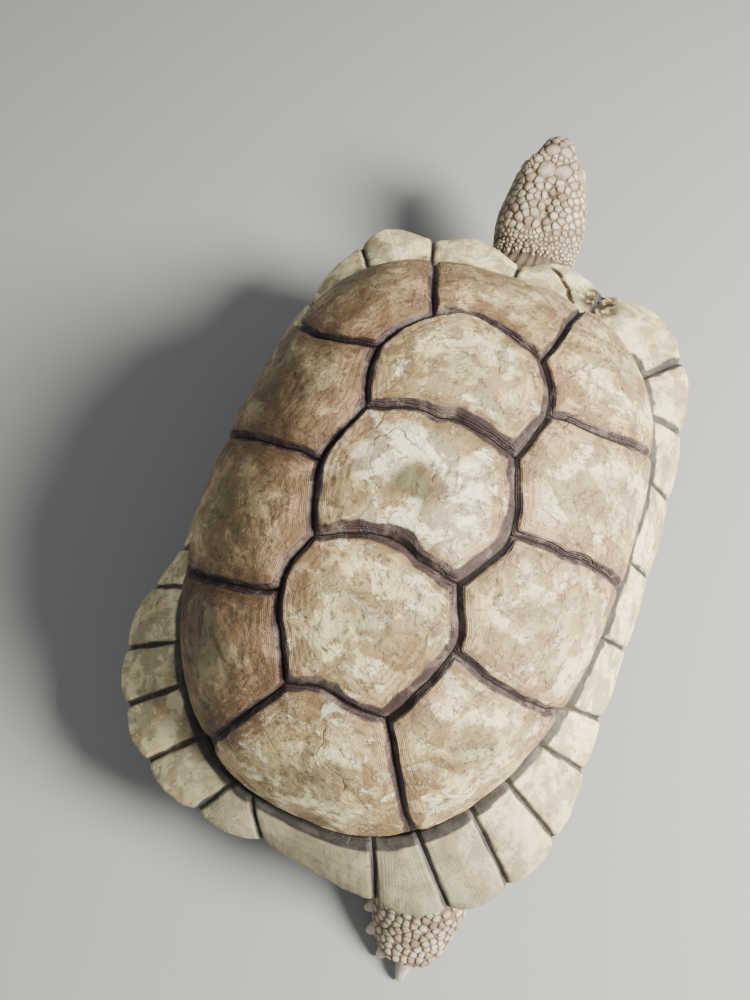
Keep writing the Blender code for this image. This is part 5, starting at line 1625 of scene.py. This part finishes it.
def dome_horn():
    """Bleached where worn, brown between the seasons, dark along the seams; painted light on the right
    costals and painted shade on the left ones.
    """
    material, tree, shader = new_material("dome_horn")
    place = here(tree)
    share, seam, bleach_and_light = stored(tree, "share"), stored(tree, "seam"), stored(tree, "bleach_and_light")
    lines = use_group(tree, growth_lines, Steps=stored(tree, "steps"), Seam=seam, Wear=0.30)
    cloud = grain(tree, place, 16.0, 6.0, 0.62, 0.4)
    spots = grain(tree, place, 75.0, 6.0, 0.70)
    colour = blend(tree, remap(tree, cloud, 0.42, 0.58), (0.240, 0.155, 0.078), (0.570, 0.405, 0.215))
    # paler where the number is high: real bleach, and on the costals painted light on the right and painted
    # shade on the left
    colour = blend(tree, times(tree, bleach_and_light, 0.58), colour, (0.750, 0.590, 0.285))
    # painted shade on the left costals, patchy by the cloud
    soiled = times(tree, stored(tree, "soil"), remap(tree, cloud, 0.62, 0.46, 0.48, 1.0))
    colour = paint(tree, colour, soiled, 0.96, (0.080, 0.052, 0.026))
    inner = times(tree, remap(tree, share, 0.10, 0.50), remap(tree, bleach_and_light, 0.0, 1.0, 0.30, 1.0))
    phase = calc(tree, "MULTIPLY_ADD", share, 24.0, times(tree, cloud, 3.0))
    rings = node(tree, "CombineXYZ", {0: phase, 1: stored(tree, "seed")}).outputs[0]
    ring_tone = remap(tree, grain(tree, rings, 1.0, 2.0), 0.42, 0.60)
    outer = remap(tree, share, 0.75, 0.25)
    colour = paint(tree, colour, times(tree, ring_tone, outer), 0.50, (0.235, 0.135, 0.065))
    worn = dirt_mask(tree, 20.0, 0.58, 0.70)
    colour = paint(tree, colour, times(tree, worn, inner), 0.84, (0.970, 0.830, 0.455))
    chips = dirt_mask(tree, 58.0, 0.43, 0.85)
    colour = paint(tree, colour, times(tree, chips, bleach_and_light), 0.82, (1.000, 0.910, 0.590))
    rosy = times(tree, remap(tree, seam, 0.030, 0.008), remap(tree, cloud, 0.45, 0.58))
    colour = paint(tree, colour, rosy, 0.45, (0.430, 0.245, 0.160))
    young = remap(tree, share, 0.70, 0.22)
    colour = paint(tree, colour, times(tree, lines["Lines"], young), 0.72, (0.215, 0.098, 0.050))
    near = remap(tree, seam, 0.016, 0.007)
    colour = paint(tree, colour, times(tree, lines["Fine"], near), 0.32, (0.230, 0.120, 0.080))
    old = times(tree, remap(tree, share, 0.52, 0.86), stored(tree, "olive"))
    grime = dirt_mask(tree, 30.0, 0.80, 0.45)
    colour = paint(tree, colour, times(tree, grime, old), 0.92, (0.128, 0.112, 0.056))
    ringed = times(tree, remap(tree, share, 0.20, 0.42), remap(tree, share, 0.84, 0.64))
    oldest = times(tree, remap(tree, bleach_and_light, 1.05, 1.35), remap(tree, cloud, 0.42, 0.52))
    ringed = times(tree, ringed, oldest)
    colour = paint(tree, colour, ringed, 0.85, (1.000, 0.930, 0.660))
    heart = times(tree, remap(tree, share, 0.62, 0.86), remap(tree, stored(tree, "olive"), 0.60, 1.00))
    heart = times(tree, heart, remap(tree, spots, 0.36, 0.56, 0.35, 1.0))
    colour = paint(tree, colour, heart, 0.80, (0.155, 0.145, 0.070))
    stain = dirt_mask(tree, 40.0, 0.54, 0.66)
    colour = paint(tree, colour, stain, 0.70, (0.190, 0.112, 0.052))
    speck = dirt_mask(tree, 170.0, 0.36, 0.95)
    colour = paint(tree, colour, speck, 0.62, (0.085, 0.060, 0.035))
    net = crack_mask(tree, 24.0, 0.58)
    colour = paint(tree, colour, net, 0.80, (0.070, 0.042, 0.026))
    streak = blend(tree, lines["Fine"], (0.026, 0.014, 0.017), (0.105, 0.070, 0.066))
    pale = remap(tree, grain(tree, place, 55.0, 4.0, 0.65), 0.50, 0.62)
    streak = paint(tree, streak, pale, 0.50, (0.240, 0.190, 0.150))
    colour = paint(tree, colour, stored(tree, "band"), 0.95, streak)
    colour = blend(tree, remap(tree, seam, 0.0013, 0.0003), colour, (0.012, 0.008, 0.008))
    tree.links.new(colour, shader.inputs["Base Color"])
    plug(tree, shader.inputs["Roughness"], remap(tree, spots, 0.3, 0.7, 0.42, 0.72))
    height = calc(tree, "ADD", times(tree, spots, 1.10), times(tree, net, -0.9))
    height = calc(tree, "ADD", height, times(tree, chips, 0.40))
    height = calc(tree, "ADD", height, times(tree, lines["Fine"], times(tree, near, 0.22)))
    add_bump(tree, shader, height, 0.85, 0.0020)
    return material


def rim_horn():
    """Pale and streaked toward the lip, with dark young horn at the seams."""
    material, tree, shader = new_material("rim_horn")
    place = here(tree)
    seam = stored(tree, "seam")
    lines = use_group(tree, growth_lines, Steps=stored(tree, "steps"), Seam=seam, Wear=0.40)
    cloud = grain(tree, place, 20.0, 6.0, 0.62, 0.4)
    spots = grain(tree, place, 90.0, 6.0, 0.70)
    colour = blend(tree, remap(tree, cloud, 0.42, 0.58), (0.560, 0.425, 0.210), (0.900, 0.750, 0.395))
    turn, out = times(tree, stored(tree, "turn"), 26.0), times(tree, stored(tree, "out"), 2.2)
    run = node(tree, "CombineXYZ", {0: turn, 1: out, 2: stored(tree, "seed")}).outputs[0]
    streaks = remap(tree, grain(tree, run, 1.0, 4.0), 0.53, 0.66)
    colour = paint(tree, colour, streaks, 0.42, (0.310, 0.240, 0.150))
    colour = paint(tree, colour, lines["Lines"], 0.45, (0.290, 0.165, 0.085))
    chips = dirt_mask(tree, 50.0, 0.62, 0.85)
    colour = paint(tree, colour, chips, 0.44, (1.000, 0.920, 0.580))
    # darker grey-green over the tail plates
    colour = paint(tree, colour, stored(tree, "soil"), 0.92, (0.200, 0.188, 0.128))
    grime = dirt_mask(tree, 36.0, 0.50, 0.50)
    colour = paint(tree, colour, grime, 0.62, (0.205, 0.170, 0.100))
    speck = dirt_mask(tree, 170.0, 0.30, 0.95)
    colour = paint(tree, colour, speck, 0.50, (0.100, 0.075, 0.045))
    net = crack_mask(tree, 34.0, 0.55)
    colour = paint(tree, colour, net, 0.70, (0.090, 0.060, 0.036))
    pale = remap(tree, grain(tree, place, 60.0, 4.0, 0.65), 0.48, 0.62)
    streak = blend(tree, calc(tree, "MAXIMUM", times(tree, lines["Fine"], 0.7), pale),
                   (0.014, 0.012, 0.013), (0.062, 0.056, 0.053))
    scar = times(tree, remap(tree, stored(tree, "scar"), 0.12, 0.70), remap(tree, spots, 0.36, 0.50))
    colour = paint(tree, colour, scar, 0.97, (0.052, 0.033, 0.018))
    colour = paint(tree, colour, stored(tree, "band"), 0.93, streak)
    tree.links.new(colour, shader.inputs["Base Color"])
    plug(tree, shader.inputs["Roughness"], remap(tree, spots, 0.3, 0.7, 0.45, 0.74))
    height = calc(tree, "ADD", times(tree, spots, 0.75), times(tree, net, -0.8))
    add_bump(tree, shader, height, 0.65, 0.0014)
    return material


def belly_horn():
    material, tree, shader = new_material("belly_horn")
    place = here(tree)
    seam = stored(tree, "seam")
    lines = use_group(tree, growth_lines, Steps=0.3, Seam=seam, Wear=0.2)
    cloud = grain(tree, place, 16.0, 5.0, 0.6)
    colour = blend(tree, remap(tree, cloud, 0.35, 0.65), (0.500, 0.410, 0.265), (0.680, 0.590, 0.420))
    fine = times(tree, lines["Fine"], remap(tree, seam, 0.035, 0.0, 0.0, 0.30))
    colour = blend(tree, fine, colour, (0.330, 0.230, 0.140))
    grime = dirt_mask(tree, 30.0, 0.55, 0.3)
    colour = paint(tree, colour, grime, 0.6, (0.210, 0.170, 0.115))
    colour = blend(tree, remap(tree, seam, 0.0016, 0.0004), colour, (0.045, 0.032, 0.026))
    tree.links.new(colour, shader.inputs["Base Color"])
    add_bump(tree, shader, cloud, 0.3, 0.002)
    return material


materials = {"dome": dome_horn(), "rim": rim_horn(), "belly": belly_horn()}
for piece in dome_plates:
    piece.data.materials.append(materials["dome"])
for piece in rim_plates:
    piece.data.materials.append(materials["rim"])
belly.data.materials.append(materials["belly"])
print("shell materials", list(materials))

# %% Skin, claws, beak and eyes
def skin_material(name, scaly):
    """The same marks on bare skin and on scales; scales also use their crest and tint."""
    material, tree, shader = new_material(name, 0.72, 0.25)
    crest, tint = (stored(tree, "crest"), stored(tree, "tint")) if scaly else (0.0, 0.3)
    marks = use_group(tree, skin_marks, Crest=crest, Tint=tint)
    colour = marks["Color"]
    grime = dirt_mask(tree, 60.0, 0.42, 0.6)
    colour = paint(tree, colour, grime, 0.5, (0.110, 0.080, 0.050))
    if not scaly:
        colour = blend(tree, 0.66, colour, (0.160, 0.108, 0.066))
        # painted shade in the neck folds, over the nape and in the leg creases
        colour = paint(tree, colour, stored(tree, "crease_shade"), 0.80, (0.045, 0.028, 0.018))
        colour = paint(tree, colour, stored(tree, "crust"), 0.75, (0.640, 0.610, 0.520))
        # near-black painted shade in the nostrils
        colour = blend(tree, stored(tree, "nostril_shade"), colour, (0.015, 0.010, 0.008))
    tree.links.new(colour, shader.inputs["Base Color"])
    add_bump(tree, shader, marks["Height"], 0.45, 0.0009)
    return material


def horn_material(name, young, old):
    """Claw and beak horn, darker at the root and paler to the worn edge."""
    material, tree, shader = new_material(name, 0.42, 0.45)
    place = here(tree)
    level = stored(tree, "level")
    colour = blend(tree, remap(tree, level, 0.0, 0.9), young, old)
    fibre = grain(tree, place, 160.0, 4.0, 0.6)
    colour = blend(tree, remap(tree, fibre, 0.48, 0.70, 0.0, 0.55), colour, (0.170, 0.120, 0.080))
    tree.links.new(colour, shader.inputs["Base Color"])
    add_bump(tree, shader, fibre, 0.35, 0.0008)
    return material


def eye_material():
    """Black pupil, brown iris and dark rim, under a wet coat."""
    material, tree, shader = new_material("wet_eye", 0.06, 0.6)
    polar = stored(tree, "polar")
    iris = blend(tree, grain(tree, here(tree), 900.0, 3.0), (0.060, 0.032, 0.014), (0.150, 0.085, 0.038))
    colour = blend(tree, remap(tree, polar, 0.22, 0.27), (0.004, 0.003, 0.003), iris)
    colour = blend(tree, remap(tree, polar, 0.47, 0.55), colour, (0.030, 0.022, 0.018))
    tree.links.new(colour, shader.inputs["Base Color"])
    shader.inputs["Coat Weight"].default_value = 0.8
    shader.inputs["Coat Roughness"].default_value = 0.03
    return material


bare, scaly = skin_material("bare_skin", False), skin_material("scaly_skin", True)
claw_horn = horn_material("claw_horn", (0.330, 0.270, 0.200), (0.640, 0.560, 0.430))
beak_horn = horn_material("beak_horn", (0.300, 0.240, 0.165), (0.520, 0.450, 0.340))
# near-black painted shade, seen in the gaps between the plates
bed_shade, _, bed_shader = new_material("seam_shade_sheet", 0.9, 0.1)
bed_shader.inputs["Base Color"].default_value = (0.030, 0.022, 0.020, 1.0)
wet_eye = eye_material()
for things, material in (((skin,), bare), (scale_pieces + list(lids), scaly), (claws, claw_horn),
                         ((upper_beak, lower_beak), beak_horn), (eyes, wet_eye), ((bed,), bed_shade)):
    for thing in things:
        thing.data.materials.append(material)
print("skin materials ready")

# %% [markdown]
# ## Floor, light and camera
# A plain pale floor and soft light from the animal's right, as from a window. The
# camera stands over the animal's tail and looks down at its back.

# %% Stage
FLOOR_HALF = 25.0
CAMERA_PLACE = Vector((-0.0619, 0.3268, 0.7662))
CAMERA_TURN, CAMERA_TILT, CAMERA_ROLL = math.radians(21.49), math.radians(66.03), math.radians(0.361)
CAMERA_LENS = 27.83
LIGHT_AIM = Vector((0.0, 0.0, 0.12))
SKY_COLOUR, SKY_STRENGTH = (0.84, 0.88, 0.93, 1.0), 0.33

floor_mesh = bpy.data.meshes.new("floor")
corners = [(x * FLOOR_HALF, y * FLOOR_HALF, 0.0) for x, y in ((-1, -1), (1, -1), (1, 1), (-1, 1))]
floor_mesh.from_pydata(corners, [], [(0, 1, 2, 3)])
floor = added("floor", floor_mesh)
floor_paint, _, floor_shader = new_material("floor_paint", 0.85, 0.2)
floor_shader.inputs["Base Color"].default_value = (0.37, 0.367, 0.35, 1.0)
floor_mesh.materials.append(floor_paint)


def soft_light(name, place, size, power, colour):
    lamp = bpy.data.lights.new(name, "AREA")
    lamp.shape, lamp.size, lamp.energy, lamp.color = "DISK", size, power, colour
    thing = added(name, lamp)
    thing.location = place
    thing.rotation_mode = "QUATERNION"
    thing.rotation_quaternion = (LIGHT_AIM - thing.location).to_track_quat("-Z", "Y")


soft_light("window", Vector((-1.72, -0.02, 1.40)), 0.9, 182, (1.0, 0.970, 0.91))
soft_light("fill", Vector((1.4, 1.2, 1.8)), 2.0, 3, (0.90, 0.95, 1.0))
world = bpy.data.worlds.new("studio")
bpy.context.scene.world = world
world.use_nodes = True
sky = world.node_tree.nodes["Background"].inputs
sky["Color"].default_value, sky["Strength"].default_value = SKY_COLOUR, SKY_STRENGTH

turn, tilt, roll = CAMERA_TURN, CAMERA_TILT, CAMERA_ROLL
level = Vector((-math.cos(turn), -math.sin(turn), 0.0))
optical = Vector((math.sin(turn) * math.cos(tilt), -math.cos(turn) * math.cos(tilt), -math.sin(tilt)))
under = optical.cross(level)
across = level * math.cos(roll) - under * math.sin(roll)
upward = -(level * math.sin(roll) + under * math.cos(roll))
lens = bpy.data.cameras.new("camera")
lens.sensor_width, lens.lens, lens.clip_start = 36.0, CAMERA_LENS, 0.01
camera = added("camera", lens)
axes = Matrix((across, upward, -optical)).transposed().to_4x4()
camera.matrix_world = Matrix.Translation(CAMERA_PLACE) @ axes
bpy.context.scene.camera = camera
print("camera looks along", [round(v, 3) for v in optical])

# %% Update the view layer
bpy.context.view_layer.update()
